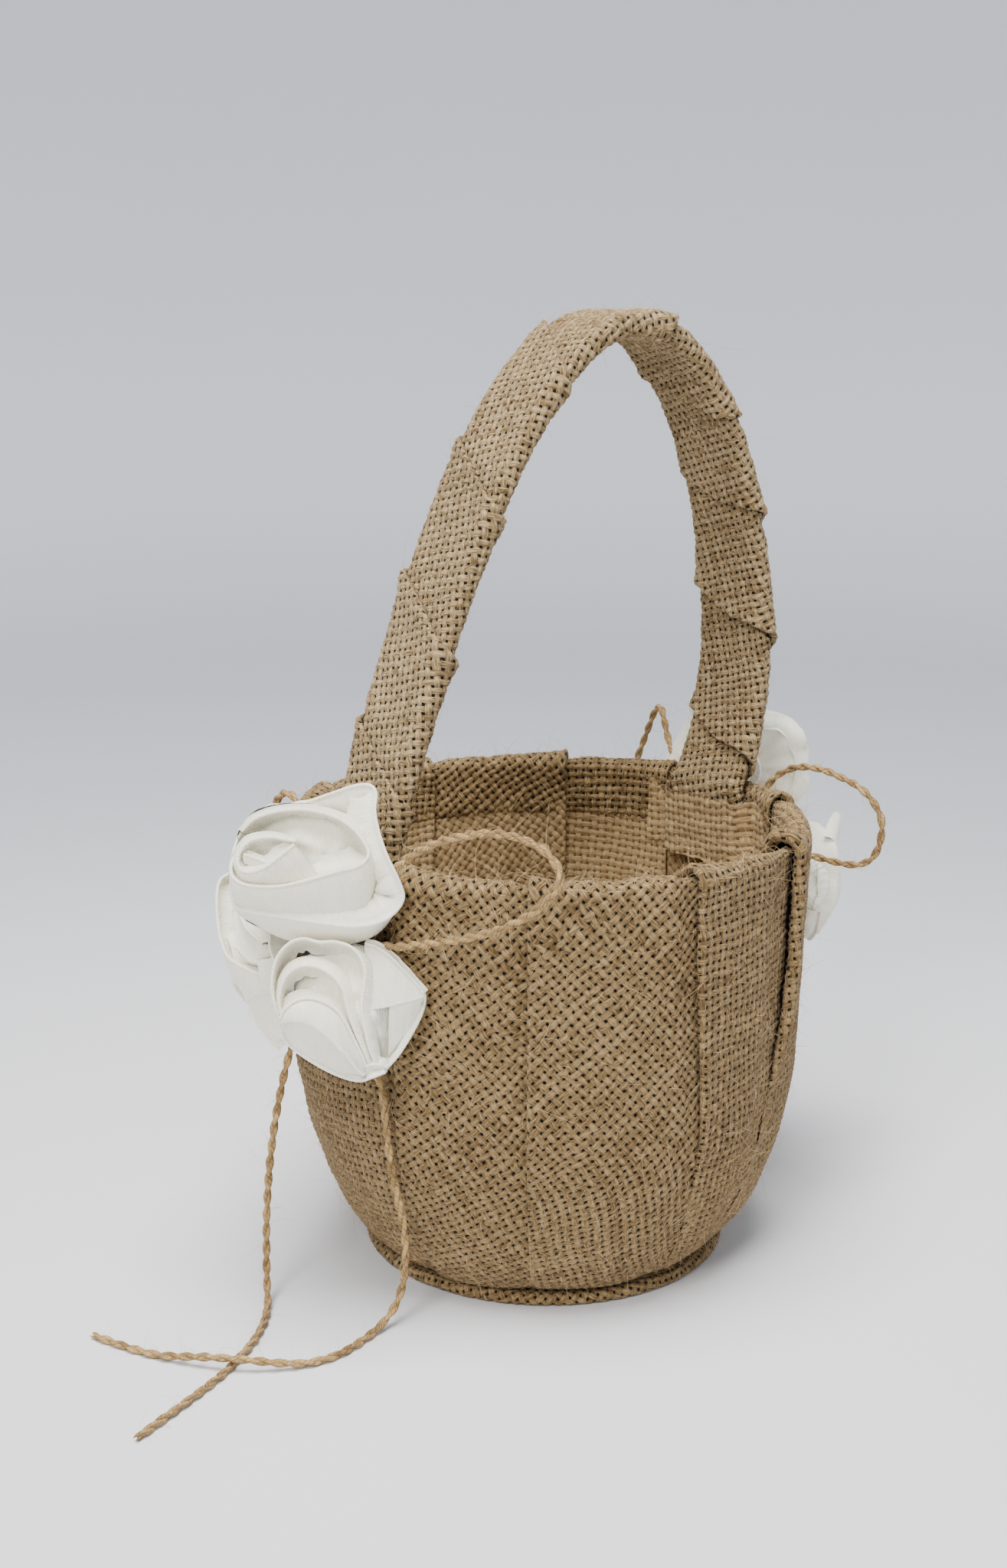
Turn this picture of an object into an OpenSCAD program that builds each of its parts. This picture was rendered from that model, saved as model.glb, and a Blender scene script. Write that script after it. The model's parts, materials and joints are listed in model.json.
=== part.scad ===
// Flower girl basket: a round bucket form covered inside and out in burlap, on a
// burlap-wrapped disc, with a wrapped strap handle and, on each side, a twine bow
// under a cluster of folded satin roses.
// Millimetres. +Z is up, the origin is the centre of the underside, and the handle
// stands in the XZ plane.

/* [Body] */
// Outside radius of the rim
rim_r = 70; // [64:1:78]
// Height of the top of the rim
rim_z = 120.5; // [112:0.5:130]
// Radius at the height where the wall starts to round in
shoulder_r = 68.4; // [63:0.2:76]
// Height where the wall starts to round in
shoulder_z = 62; // [54:1:72]
// Radius of the flat bottom of the body
foot_r = 44; // [40:1:46]
// Fullness of the rounded lower wall, 2 being a true ellipse
fullness = 1.8; // [1.5:0.1:2.4]

/* [Layers] */
// Thickness of the outer burlap with its pleats
cover_t = 2.2; // [1.6:0.2:3]
// Thickness of the moulded bucket form
form_t = 2; // [1.4:0.2:2.6]
// Thickness of the lining
lining_t = 1.4; // [1:0.2:1.8]
// Height of the cover's hem, turned down inside the rim
hem_h = 16.5; // [12:0.5:24]

/* [Base] */
// Outside radius of the wrapped base disc
base_r = 50; // [48:0.5:56]
// Overall thickness of the wrapped base disc
base_t = 3.5; // [3:0.25:5]
// Thickness of the burlap round the base board
base_wrap_t = 0.75; // [0.5:0.05:1]
// Radius of the glue pad between disc and body
base_glue_r = 37; // [30:1:40]

/* [Handle] */
// Distance of each foot's centre line from the axis
foot_x = 59.8; // [59:0.1:60]
// Width of the wrapped strap
strap_w = 25; // [22:0.5:26]
// Thickness of the wrapped strap
strap_t = 5; // [4:0.25:5]
// Width of the flat core
core_w = 22; // [18:0.5:22]
// Thickness of the flat core
core_t = 2.4; // [1.8:0.2:3]
// Height of the handle's centre line at its top
apex_z = 250; // [230:1:260]
// How far the top of the handle leans to one side
apex_x = 21.6; // [0:0.2:24]
// How far the feet reach down inside the rim
foot_drop = 20; // [16:1:26]

/* [Patches] */
// Width of the burlap patch over each foot
patch_w = 48; // [36:1:56]
// Thickness of each patch
patch_t = 1.4; // [1:0.1:1.8]

/* [Roses] */
// Radius of each satin rose
rose_r = 17.5; // [15:0.5:17.5]
// Depth of each satin rose
rose_h = 16.5; // [14:0.5:17]
// Radius of the felt disc behind each rose
felt_r = 8; // [6:0.5:8]
// Thickness of the felt disc
felt_t = 1.5; // [1:0.25:1.5]
// Radius of the glue blob behind each felt disc
blob_r = 5.5; // [4:0.5:6]

/* [Twine] */
// Diameter of the jute twine
twine_d = 2.2; // [1.8:0.1:2.2]
// Size of the bow's knot
knot_s = 7; // [6:0.25:7]

/* [Hidden] */
$fn = 96;

burlap = [0.66, 0.55, 0.41];
burlap_dark = [0.55, 0.45, 0.33];
satin = [0.93, 0.93, 0.90];
felt = [0.90, 0.89, 0.85];
jute = [0.70, 0.55, 0.36];
card = [0.50, 0.42, 0.33];
glue = [0.93, 0.92, 0.86];

wall_t = cover_t + form_t + lining_t;   // whole wall, outside face to inside face
roll_r = wall_t / 2;                    // radius of the rolled rim
roll_z = rim_z - roll_r;                // height of the rolled rim's centre
hem_z = rim_z - hem_h;                  // lower edge of the turned-in hem
bowl_steps = 11;                        // facets from the flat bottom to the shoulder
far = 200;                              // reaches past the whole object

// ---- Wall of the body -------------------------------------------------------

// Radius of the surface at depth d below the outside face, above the shoulder
function wall_at(z, d) =
    shoulder_r + (rim_r - shoulder_r) * (z - shoulder_z) / (roll_z - shoulder_z) - d;

// Outline from the flat bottom up to the shoulder, at depth d
function bowl(d) = [
    for (k = [0 : bowl_steps])
        let (a = 90 * k / bowl_steps)
        [
            foot_r + (shoulder_r - d - foot_r) * pow(sin(a), 2 / fullness),
            shoulder_z - (shoulder_z - base_t - d) * pow(cos(a), 2 / fullness)
        ]
];

function reversed(list) = [for (k = [len(list) - 1 : -1 : 0]) list[k]];

// Half circle over the wall's top edge, from outside to inside
function roll() = [
    for (a = [0 : 15 : 180])
        [rim_r - roll_r + roll_r * cos(a), roll_z + roll_r * sin(a)]
];

// Everything inside the surface at depth d, up to height top
module filled_body(d, top) {
    rotate_extrude()
        polygon(concat(
            [[0, base_t + d]],
            bowl(d),
            [[wall_at(top, d), top], [0, top]]
        ));
}

// A shell of the wall between two depths, open at the top
module wall_shell(outer, inner, top) {
    rotate_extrude()
        polygon(concat(
            [[0, base_t + outer]],
            bowl(outer),
            [[wall_at(top, outer), top], [wall_at(top, inner), top]],
            reversed(bowl(inner)),
            [[0, base_t + inner]]
        ));
}

module basket_form() {
    color(card) wall_shell(cover_t, cover_t + form_t, roll_z);
}

module outer_cover() {
    color(burlap)
        rotate_extrude()
            polygon(concat(
                [[0, base_t]],
                bowl(0),
                roll(),
                [
                    [wall_at(hem_z, wall_t), hem_z],
                    [wall_at(hem_z, cover_t + form_t), hem_z],
                    [wall_at(roll_z, cover_t + form_t), roll_z],
                    [wall_at(roll_z, cover_t), roll_z]
                ],
                reversed(bowl(cover_t)),
                [[0, base_t + cover_t]]
            ));
}

module lining() {
    color(burlap_dark) wall_shell(cover_t + form_t, wall_t, hem_z);
}

// ---- Base disc --------------------------------------------------------------

board_r = base_r - 2;
board_t = base_t - 2 * base_wrap_t;

module base_board() {
    color(card)
        translate([0, 0, base_wrap_t])
            cylinder(r = board_r, h = board_t);
}

module base_cover() {
    edge_r = base_t / 2;
    color(burlap)
        difference() {
            rotate_extrude() {
                square([base_r - edge_r, base_t]);
                translate([base_r - edge_r, edge_r]) circle(r = edge_r, $fn = 24);
            }
            base_board();
            translate([0, 0, base_wrap_t + board_t / 2])
                cylinder(r = base_glue_r, h = base_t);
        }
}

module base_glue() {
    color(glue)
        translate([0, 0, base_t - base_wrap_t])
            cylinder(r = base_glue_r, h = base_wrap_t);
}

// ---- Handle -----------------------------------------------------------------

foot_z = rim_z - foot_drop;
arch_steps = 14;                        // facets on each half of the arch

function bezier(p, t) =
    p[0] * pow(1 - t, 3) + p[1] * 3 * t * pow(1 - t, 2)
    + p[2] * 3 * t * t * (1 - t) + p[3] * pow(t, 3);
function slope(p, t) =
    (p[1] - p[0]) * pow(1 - t, 2) + (p[2] - p[1]) * 2 * t * (1 - t)
    + (p[3] - p[2]) * t * t;

apex = [apex_x, apex_z];
left_arch = [[-foot_x, rim_z], [-foot_x + 14.5, rim_z + 46], apex - [38, 0], apex];
right_arch = [apex, apex + [35, 0], [foot_x + 24, rim_z + 42], [foot_x, rim_z]];

// Centre line from foot to foot, each entry a point and its direction
arch_line = concat(
    [for (k = [0 : arch_steps]) let (t = k / arch_steps)
        [bezier(left_arch, t), slope(left_arch, t)]],
    [for (k = [1 : arch_steps]) let (t = k / arch_steps)
        [bezier(right_arch, t), slope(right_arch, t)]]
);

// One edge of the strap, at distance off to the left of the centre line
function strap_edge(off) = [
    for (entry = arch_line)
        entry[0] + [-entry[1][1], entry[1][0]] * off / norm(entry[1])
];

// Side outline of the strap, of thickness t, with its feet cut off at height low
module strap_outline(t, low) {
    rise = 1;                           // where the straight feet start, below the rim
    polygon(concat(
        [[-foot_x - t / 2, low], [-foot_x - t / 2, rim_z - rise]],
        strap_edge(t / 2),
        [[foot_x + t / 2, rim_z - rise], [foot_x + t / 2, low]],
        [[foot_x - t / 2, low], [foot_x - t / 2, rim_z - rise]],
        reversed(strap_edge(-t / 2)),
        [[-foot_x + t / 2, rim_z - rise], [-foot_x + t / 2, low]]
    ));
}

module strap(w, t, low) {
    rotate([90, 0, 0])
        linear_extrude(height = w, center = true)
            strap_outline(t, low);
}

module handle_core() {
    color(card) strap(core_w, core_t, foot_z);
}

module handle_wrap() {
    color(burlap)
        difference() {
            strap(strap_w, strap_t, foot_z);
            strap(core_w, core_t, foot_z - 1);
        }
}

// ---- Pieces that come once on each side -------------------------------------
// They are drawn for the left side, at -X. The right side is the same, turned half
// round the axis.

module on_side(side) {
    rotate([0, 0, side == "left" ? 0 : 180]) children();
}

module cavity(d) {
    filled_body(wall_t + d, rim_z + 5);
}

// A block from x_out to x_in, centred on y, between two heights
module foot_block(x_out, x_in, w, low, high) {
    translate([-x_out, -w / 2, low])
        cube([x_out - x_in, w, high - low]);
}

foot_back = foot_x + strap_t / 2;       // face of the foot towards the wall
foot_front = foot_x - strap_t / 2;      // face of the foot towards the axis
patch_low = foot_z - 2.5;
patch_high = rim_z - 3.5;

module handle_glue() {
    color(glue)
        intersection() {
            cavity(0, $fn = 360);
            foot_block(rim_r, foot_back, strap_w, foot_z + 1, patch_high - 1);
        }
}

module handle_patch() {
    color(burlap_dark)
        difference() {
            intersection() {
                cavity(0);
                foot_block(rim_r, rim_r / 2, patch_w, patch_low, patch_high);
            }
            difference() {
                cavity(patch_t);
                foot_block(
                    rim_r, foot_front - patch_t,
                    strap_w + 2 * patch_t, 0, far
                );
            }
            foot_block(rim_r, foot_front, strap_w, foot_z, far);
        }
}

// ---- Roses ------------------------------------------------------------------

// Centre of each rose, and the azimuth and elevation that it faces
rose_top = [[-81.5, -9.5, 123.5], -147, 15];
rose_low = [[-79.5, -21, 89.5], -139, -12];
rose_side = [[-79.5, 17.5, 92], 159, -6];
rose_mid = 8;                           // height of a rose's widest place over its back
rose_base_r = 6;                        // radius of its gathered back

// Places its children with +Z along the way that the rose faces, z = 0 at its back
module facing(place) {
    translate(place[0])
        rotate([0, 90 - place[2], place[1]])
            translate([0, 0, -rose_mid])
                children();
}

// A closed dome: half an ellipse below its widest place, half above
module rose(place) {
    color(satin)
        facing(place)
            rotate_extrude()
                polygon(concat(
                    [[0, 0]],
                    [for (k = [0 : 6]) let (a = -90 + 15 * k)
                        [
                            rose_base_r + (rose_r - rose_base_r) * cos(a),
                            rose_mid + rose_mid * sin(a)
                        ]],
                    [for (a = [15 : 15 : 90])
                        [rose_r * cos(a), rose_mid + (rose_h - rose_mid) * sin(a)]]
                ));
}

module felt_disc(place) {
    color(felt)
        facing(place)
            translate([0, 0, -felt_t])
                cylinder(r = felt_r, h = felt_t);
}

// Glue from each felt disc in to the cover
module flower_glue() {
    blob_h = 6;
    color(glue)
        difference() {
            for (place = [rose_top, rose_low, rose_side])
                facing(place)
                    translate([0, 0, -felt_t - blob_h])
                        cylinder(r = blob_r, h = blob_h);
            filled_body(0, roll_z);
            translate([0, 0, roll_z])
                rotate_extrude()
                    intersection() {
                        translate([rim_r - roll_r, 0]) circle(r = roll_r, $fn = 24);
                        square([far, roll_r]);
                    }
            cylinder(r = rim_r - roll_r, h = rim_z);
        }
}

// ---- Twine bow --------------------------------------------------------------
// A bow is one length of twine: a knot, two loops and two cut tails. The routes run
// along its middle, each starting square to a face of the knot.

knot_at = [-73.6, -4, 105.7];
knot_out = knot_s / 2;

module bow_knot() {
    soft = 1.2;                         // radius of the knot's rounded corners
    color(jute)
        translate(knot_at)
            rotate([90, 0, 90])
                linear_extrude(height = knot_s - 0.4, center = true)
                    union() {
                        square([knot_s, knot_s - 2 * soft], center = true);
                        square([knot_s - 2 * soft, knot_s], center = true);
                        for (u = [-1, 1], v = [-1, 1])
                            translate([u * (knot_out - soft), v * (knot_out - soft)])
                                circle(r = soft, $fn = 24);
                    }
}

left_loop_front = [
    [-73.6, -7.5, 107.2], [-73.4, -11, 108.2], [-71.8, -15, 111], [-70.4, -19, 115],
    [-69.6, -24, 120.5], [-69, -31, 126.5], [-67.8, -40, 132], [-66.4, -50, 136],
    [-65, -60, 138.6], [-63.6, -69, 138.9], [-62.4, -76, 137], [-61.8, -80, 133],
    [-62.2, -78.5, 128], [-63.2, -71, 121.5], [-64.4, -62, 116], [-66.2, -51, 111.3],
    [-68, -40, 107.6], [-69.6, -29, 104.2], [-71, -20, 102.8], [-72.8, -12.5, 103.4],
    [-73.6, -7.5, 104.2]
];
left_loop_back = [
    [-73.6, -0.5, 107.2], [-73.4, 2.5, 109], [-72.4, 5, 114], [-71.8, 7, 120],
    [-71.6, 9.5, 127], [-71.8, 13, 132.8], [-72, 18, 133.5], [-71.8, 23, 129.5],
    [-71, 28.5, 123], [-69.5, 32.5, 115], [-68, 33, 107.5], [-67.6, 29, 102.9],
    [-69, 22, 103.6], [-71.6, 14, 104.6], [-73, 6, 104.4], [-73.6, -0.5, 104.2]
];
right_loop_front = [
    [-73.6, -7.5, 107.2], [-73.4, -10.8, 108.2], [-71.8, -15, 111], [-70.4, -19, 115],
    [-69.4, -23.5, 120], [-70.2, -28.5, 125.5], [-72.4, -33, 130.5], [-74, -36.6, 133.8],
    [-74.6, -39.8, 132.2], [-74.6, -42.4, 127], [-74.4, -45.5, 120], [-73.4, -47.5, 112.5],
    [-71.5, -45, 106.5], [-69.6, -37, 104], [-69.8, -28, 103], [-71.2, -19.5, 102.9],
    [-72.9, -12.5, 103.6], [-73.6, -7.5, 104.2]
];
right_loop_back = [
    [-73.6, -0.5, 107.2], [-73.4, 3, 108.6], [-72.6, 6.5, 113], [-72.8, 10, 118.5],
    [-73.6, 14.5, 123.2], [-74.4, 21, 126.4], [-75, 29, 127.2], [-75, 37, 126.4],
    [-75, 44, 124.8], [-75, 49, 121.8], [-75, 52.2, 117.4], [-75, 52, 111],
    [-75, 49, 105.6], [-74.6, 43.5, 102.8], [-72.8, 36, 102.6], [-70.2, 29, 103.6],
    [-69.6, 21.5, 104.4], [-71.8, 13.5, 104.8], [-73.2, 6, 104.5], [-73.6, -0.5, 104.2]
];
left_tail_long = [
    [-73.6, -5.6, 102.2], [-73.2, -5.6, 97.5], [-71.7, -5.8, 91], [-71.2, -6.8, 85],
    [-70.9, -10, 78.5], [-70, -15.2, 72], [-68.8, -19.6, 64], [-68.4, -20.7, 54],
    [-67.8, -21.8, 44], [-66.8, -23.6, 34], [-66, -25, 25], [-66, -25, 16.5],
    [-67, -24, 9], [-69.8, -23.2, 3.8], [-75, -24, 1.3], [-82, -26.4, 1.1],
    [-89.5, -28, 1.1], [-97, -27.2, 1.3], [-103.5, -24.4, 2.2], [-109, -20.9, 3.2],
    [-113.6, -16.6, 3.5], [-118, -11, 3], [-121.8, -5.2, 1.9], [-125.4, 1, 1.2],
    [-129, 9.5, 1.1], [-132.4, 19, 1.1]
];
left_tail_short = [
    [-73.6, -2.4, 102.2], [-73.8, -1.8, 97], [-74.6, 0.4, 89.5], [-76.2, 3.6, 81],
    [-78.2, 6.4, 71.5], [-80.6, 8.2, 60], [-82.6, 9.4, 48], [-84, 10.2, 36],
    [-84.8, 10.6, 24], [-85.2, 10.6, 14], [-86.2, 9, 6.4], [-88.6, 5, 2],
    [-92.6, -0.4, 1.1], [-98, -6, 1.1], [-105, -11.6, 1.1], [-113.4, -17, 1.1],
    [-121, -20.8, 1.1], [-129, -24.3, 1.1], [-139, -28.4, 1.1], [-148, -32, 1.1]
];
right_tail_long = [
    [-73.6, -5.6, 102.2], [-73.2, -5.6, 97.5], [-71.7, -5.8, 91], [-71.2, -6.8, 85],
    [-71.2, -9.8, 78], [-71, -14.2, 70], [-71, -17.6, 60], [-72, -19, 48],
    [-73.2, -20, 36], [-74.2, -20.8, 24], [-75, -21.6, 13.5], [-76.6, -23, 5.6],
    [-80, -26.5, 1.6], [-84, -32, 1.1], [-86, -39.5, 1.1], [-85.4, -48, 1.1],
    [-81.6, -56, 1.1], [-75, -62.4, 1.1], [-67, -66.4, 1.1], [-58, -68.4, 1.1]
];
right_tail_short = [
    [-73.6, -2.4, 102.2], [-73.8, -1.8, 97], [-74.6, 0, 89.5], [-76.2, 1.6, 81],
    [-78, 2.2, 71.5], [-80, 2, 60], [-81.8, 1.2, 48], [-83, 0, 36],
    [-83.8, -1.4, 24], [-84.6, -3, 14], [-86, -5.4, 6.2], [-88.8, -9.6, 1.9],
    [-92, -15.6, 1.1], [-94.6, -23, 1.1], [-96, -31, 1.1], [-95.8, -39.5, 1.1],
    [-93.6, -48, 1.1], [-89.6, -56, 1.1]
];

twine_sides = 8;
side_way = [0, 1, 0];                   // the way the twine leaves the knot's sides
down_way = [0, 0, -1];                  // the way the twine leaves the knot's underside

function unit(v) = v / norm(v);
function turned(v, axis, a) =
    v * cos(a) + cross(axis, v) * sin(a) + axis * (axis * v) * (1 - cos(a));

// Direction of a route at point k, square to the knot's face at an end on it
function heading(route, k, first, last) =
    k == 0 && first != undef ? first
    : k == len(route) - 1 && last != undef ? last
    : unit(route[min(k + 1, len(route) - 1)] - route[max(k - 1, 0)]);

// A direction across the route at point k, carried along without twist
function across(route, k, first, last) =
    k == 0
    ? unit(cross(heading(route, 0, first, last), [1, 0.03, 0.02]))
    : let (
        h = heading(route, k, first, last),
        before = across(route, k - 1, first, last)
    ) unit(before - h * (h * before));

function ring(route, k, first, last) =
    let (
        h = heading(route, k, first, last),
        u = across(route, k, first, last)
    )
    [for (j = [0 : twine_sides - 1])
        route[k] + turned(u, h, 360 * j / twine_sides) * twine_d / 2];

// A round tube along a route; first and last are the directions at its two ends
module twine(route, first, last) {
    n = len(route);
    s = twine_sides;
    color(jute)
        polyhedron(
            points = [for (k = [0 : n - 1]) each ring(route, k, first, last)],
            faces = concat(
                [[for (j = [0 : s - 1]) j]],
                [for (k = [0 : n - 2], j = [0 : s - 1])
                    [k * s + j, k * s + s + j, k * s + s + (j + 1) % s]],
                [for (k = [0 : n - 2], j = [0 : s - 1])
                    [k * s + j, k * s + s + (j + 1) % s, k * s + (j + 1) % s]],
                [[for (j = [s - 1 : -1 : 0]) (n - 1) * s + j]]
            )
        );
}

// A loop leaves the knot on the side way (+1 or -1 along Y) and comes back to it
module loop(route, way) {
    twine(route, side_way * way, side_way * -way);
}

module tail(route) {
    twine(route, down_way, undef);
}

// ---- Nodes ------------------------------------------------------------------

basket_form();
outer_cover();
lining();
base_board();
base_cover();
base_glue();
handle_core();
handle_wrap();
on_side("left") handle_glue();  // left_handle_glue
on_side("right") handle_glue();  // right_handle_glue
on_side("left") handle_patch();  // left_handle_patch
on_side("right") handle_patch();  // right_handle_patch
on_side("left") rose(rose_top);  // left_rose_top
on_side("left") rose(rose_low);  // left_rose_low
on_side("left") rose(rose_side);  // left_rose_side
on_side("right") rose(rose_top);  // right_rose_top
on_side("right") rose(rose_low);  // right_rose_low
on_side("right") rose(rose_side);  // right_rose_side
on_side("left") felt_disc(rose_top);  // left_felt_top
on_side("left") felt_disc(rose_low);  // left_felt_low
on_side("left") felt_disc(rose_side);  // left_felt_side
on_side("right") felt_disc(rose_top);  // right_felt_top
on_side("right") felt_disc(rose_low);  // right_felt_low
on_side("right") felt_disc(rose_side);  // right_felt_side
on_side("left") flower_glue();  // left_flower_glue
on_side("right") flower_glue();  // right_flower_glue
on_side("left") bow_knot();  // left_bow_knot
on_side("right") bow_knot();  // right_bow_knot
on_side("left") loop(left_loop_front, -1);  // left_bow_loop_front
on_side("left") loop(left_loop_back, 1);  // left_bow_loop_back
on_side("right") loop(right_loop_front, -1);  // right_bow_loop_front
on_side("right") loop(right_loop_back, 1);  // right_bow_loop_back
on_side("left") tail(left_tail_long);  // left_bow_tail_long
on_side("left") tail(left_tail_short);  // left_bow_tail_short
on_side("right") tail(right_tail_long);  // right_bow_tail_long
on_side("right") tail(right_tail_short);  // right_bow_tail_short
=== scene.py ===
"""Flower girl basket: the looks round its CAD frame.

Lengths here are in millimetres, as in the CAD source, and MM turns them into metres
where a mesh is made. +Z is up, the handle stands in the XZ plane, and the origin is
the centre of the underside.
"""

import json
import math
from types import SimpleNamespace

import bpy
import numpy as np
from mathutils import Matrix, Vector

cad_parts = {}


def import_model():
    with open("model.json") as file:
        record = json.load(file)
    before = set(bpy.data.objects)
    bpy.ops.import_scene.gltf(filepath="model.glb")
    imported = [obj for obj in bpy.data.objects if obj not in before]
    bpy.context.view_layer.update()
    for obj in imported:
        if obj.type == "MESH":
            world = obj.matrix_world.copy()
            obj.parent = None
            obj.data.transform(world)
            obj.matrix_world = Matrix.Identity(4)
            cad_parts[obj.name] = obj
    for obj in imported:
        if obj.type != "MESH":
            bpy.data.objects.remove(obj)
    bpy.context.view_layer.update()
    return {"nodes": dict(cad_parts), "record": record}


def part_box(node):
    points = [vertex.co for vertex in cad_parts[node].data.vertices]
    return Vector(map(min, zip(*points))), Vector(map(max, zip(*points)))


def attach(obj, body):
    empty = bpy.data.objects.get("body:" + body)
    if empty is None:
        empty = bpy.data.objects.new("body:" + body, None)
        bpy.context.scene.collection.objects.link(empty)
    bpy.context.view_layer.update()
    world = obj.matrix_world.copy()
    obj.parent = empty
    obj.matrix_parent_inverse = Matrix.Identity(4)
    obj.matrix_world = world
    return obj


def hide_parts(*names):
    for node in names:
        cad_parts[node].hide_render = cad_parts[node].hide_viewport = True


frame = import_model()

MM = 0.001
BODY = "root"


def size_of(node):
    """Lowest and highest corner of a CAD node, in millimetres."""
    low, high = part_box(node)
    return low / MM, high / MM


def add_object(name, data):
    """A new object in the scene."""
    made = bpy.data.objects.new(name, data)
    bpy.context.scene.collection.objects.link(made)
    return made


def full_turn(count):
    """Angles at an even step, once round."""
    return np.linspace(0, 2 * np.pi, count, endpoint=False)


# ---- Dimensions, taken from the frame or the same as in the CAD source ----

RIM_R, _, RIM_Z = size_of("outer_cover")[1]
BASE_R, _, BASE_T = size_of("base_cover")[1]
SHOULDER_R, SHOULDER_Z = 68.4, 62.0
FOOT_R = 44.0
FULLNESS = 1.8               # exponent of the rounded bottom; 2 is an ellipse
COVER_T, FORM_T, LINING_T = 2.2, 2.0, 1.4
WALL_T = COVER_T + FORM_T + LINING_T
ROLL_R = WALL_T / 2
ROLL_Z = RIM_Z - ROLL_R
HEM_Z = size_of("lining")[1].z
HANDLE_FOOT_X = 59.8
HANDLE_FOOT_Z = size_of("handle_wrap")[0].z
STRAP_W = size_of("handle_wrap")[1].y * 2
STRAP_T = 5.0
STRAP_CORNER = 2.1           # radius of the strap's rounded edges
APEX = np.array([21.6, 250.0])     # top of the handle's centre line, along X and Z
PATCH_LOW, PATCH_HIGH = (corner.z for corner in size_of("left_handle_patch"))
PATCH_HALF_W = size_of("left_handle_patch")[1].y
TWINE_D = 2.2

# These are the visual model's own
THREAD = 2.2                 # from one burlap thread to the next
STEP = 0.68                  # mesh step along the cloth
COARSE_STEP = 0.85           # the same where the cloth is seen less
LINE_STEP = 0.6              # between points along a twine or along a petal's edge
PINHOLE = 0.05               # radius left open at the middle of a round cloth


# ---- Camera, at the angle of the reference view ----

CAMERA_AT = Vector((-360.86, -439.45, 270.15)) * MM
CAMERA_RIGHT = Vector((0.7864, -0.6177, 0.0036))
CAMERA_UP = Vector((0.1466, 0.1923, 0.9703))


def make_camera():
    data = bpy.data.cameras.new("camera")
    data.lens = 50
    data.sensor_width = 36
    camera = add_object("camera", data)
    back = CAMERA_RIGHT.cross(CAMERA_UP).normalized()
    up = back.cross(CAMERA_RIGHT).normalized()
    turn = Matrix((CAMERA_RIGHT.normalized(), up, back)).transposed().to_4x4()
    camera.matrix_world = Matrix.Translation(CAMERA_AT) @ turn
    bpy.context.scene.camera = camera


make_camera()


# ---- Material nodes ----

class Wire:
    """A node's output that takes part in arithmetic."""

    def __init__(self, net, socket):
        self.net = net
        self.socket = socket

    def __add__(self, other):
        return self.net.math("ADD", self, other)

    def __sub__(self, other):
        return self.net.math("SUBTRACT", self, other)

    def __rsub__(self, other):
        return self.net.math("SUBTRACT", other, self)

    def __mul__(self, other):
        return self.net.math("MULTIPLY", self, other)

    __radd__ = __add__
    __rmul__ = __mul__


WEAVE_UV = "weave"


class Net:
    """The node tree of one material, with one Principled shader."""

    def __init__(self, name, **constants):
        self.material = bpy.data.materials.new(name)
        self.material.use_nodes = True
        self.tree = self.material.node_tree
        self.shader = next(n for n in self.tree.nodes if n.type == "BSDF_PRINCIPLED")
        for socket, value in constants.items():
            self.shader.inputs[socket.replace("_", " ")].default_value = value

    def feed(self, socket, value):
        """Links a wire to a socket, or sets the socket to a plain value."""
        if isinstance(value, Wire):
            self.tree.links.new(value.socket, socket)
        else:
            socket.default_value = value

    def node(self, kind, output=0, settings=None, **inputs):
        made = self.tree.nodes.new(kind)
        for key, value in (settings or {}).items():
            setattr(made, key, value)
        for key, value in inputs.items():
            self.feed(made.inputs[key], value)
        return Wire(self, made.outputs[output])

    def math(self, operation, *values):
        made = self.tree.nodes.new("ShaderNodeMath")
        made.operation = operation
        for socket, value in zip(made.inputs, values):
            self.feed(socket, value)
        return Wire(self, made.outputs[0])

    def weave_axes(self):
        """Both coordinates of the cloth's UV map."""
        uv = self.node("ShaderNodeUVMap", 0, {"uv_map": WEAVE_UV})
        split = self.tree.nodes.new("ShaderNodeSeparateXYZ")
        self.feed(split.inputs[0], uv)
        return Wire(self, split.outputs[0]), Wire(self, split.outputs[1])

    def vector(self, x, y, z=0.0):
        return self.node("ShaderNodeCombineXYZ", X=x, Y=y, Z=z)

    def noise(self, where, scale, detail=2.0):
        return self.node("ShaderNodeTexNoise", 0, Vector=where, Scale=scale, Detail=detail)

    def random(self, where):
        return self.node("ShaderNodeTexWhiteNoise", 0, Vector=where)

    def ramp(self, value, low, high):
        """0 below low, 1 above high, and smooth between."""
        return self.node(
            "ShaderNodeMapRange", 0, {"interpolation_type": "SMOOTHSTEP"},
            **{"Value": value, "From Min": low, "From Max": high},
        )

    def mix(self, share, first, second):
        made = self.tree.nodes.new("ShaderNodeMix")
        made.data_type = "RGBA"
        colours = [s for s in made.inputs if s.type == "RGBA"]
        self.feed(made.inputs[0], share)
        self.feed(colours[0], first)
        self.feed(colours[1], second)
        return Wire(self, next(s for s in made.outputs if s.type == "RGBA"))

    def finish(self, colour, roughness=None, bump=None, depth=0.0002, strength=1.0):
        """Feeds the shader and hands over the material."""
        self.feed(self.shader.inputs["Base Color"], colour)
        if roughness is not None:
            self.feed(self.shader.inputs["Roughness"], roughness)
        if bump is not None:
            normal = self.node("ShaderNodeBump", 0, Height=bump, Distance=depth, Strength=strength)
            self.feed(self.shader.inputs["Normal"], normal)
        return self.material


def srgb(red, green, blue):
    """A linear colour from screen values of 0 to 255."""
    def linear(x):
        x /= 255
        return x / 12.92 if x <= 0.04045 else ((x + 0.055) / 1.055) ** 2.4
    return (linear(red), linear(green), linear(blue), 1.0)


THREAD_HALF = 0.35           # half a thread's width, in thread spacings


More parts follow.
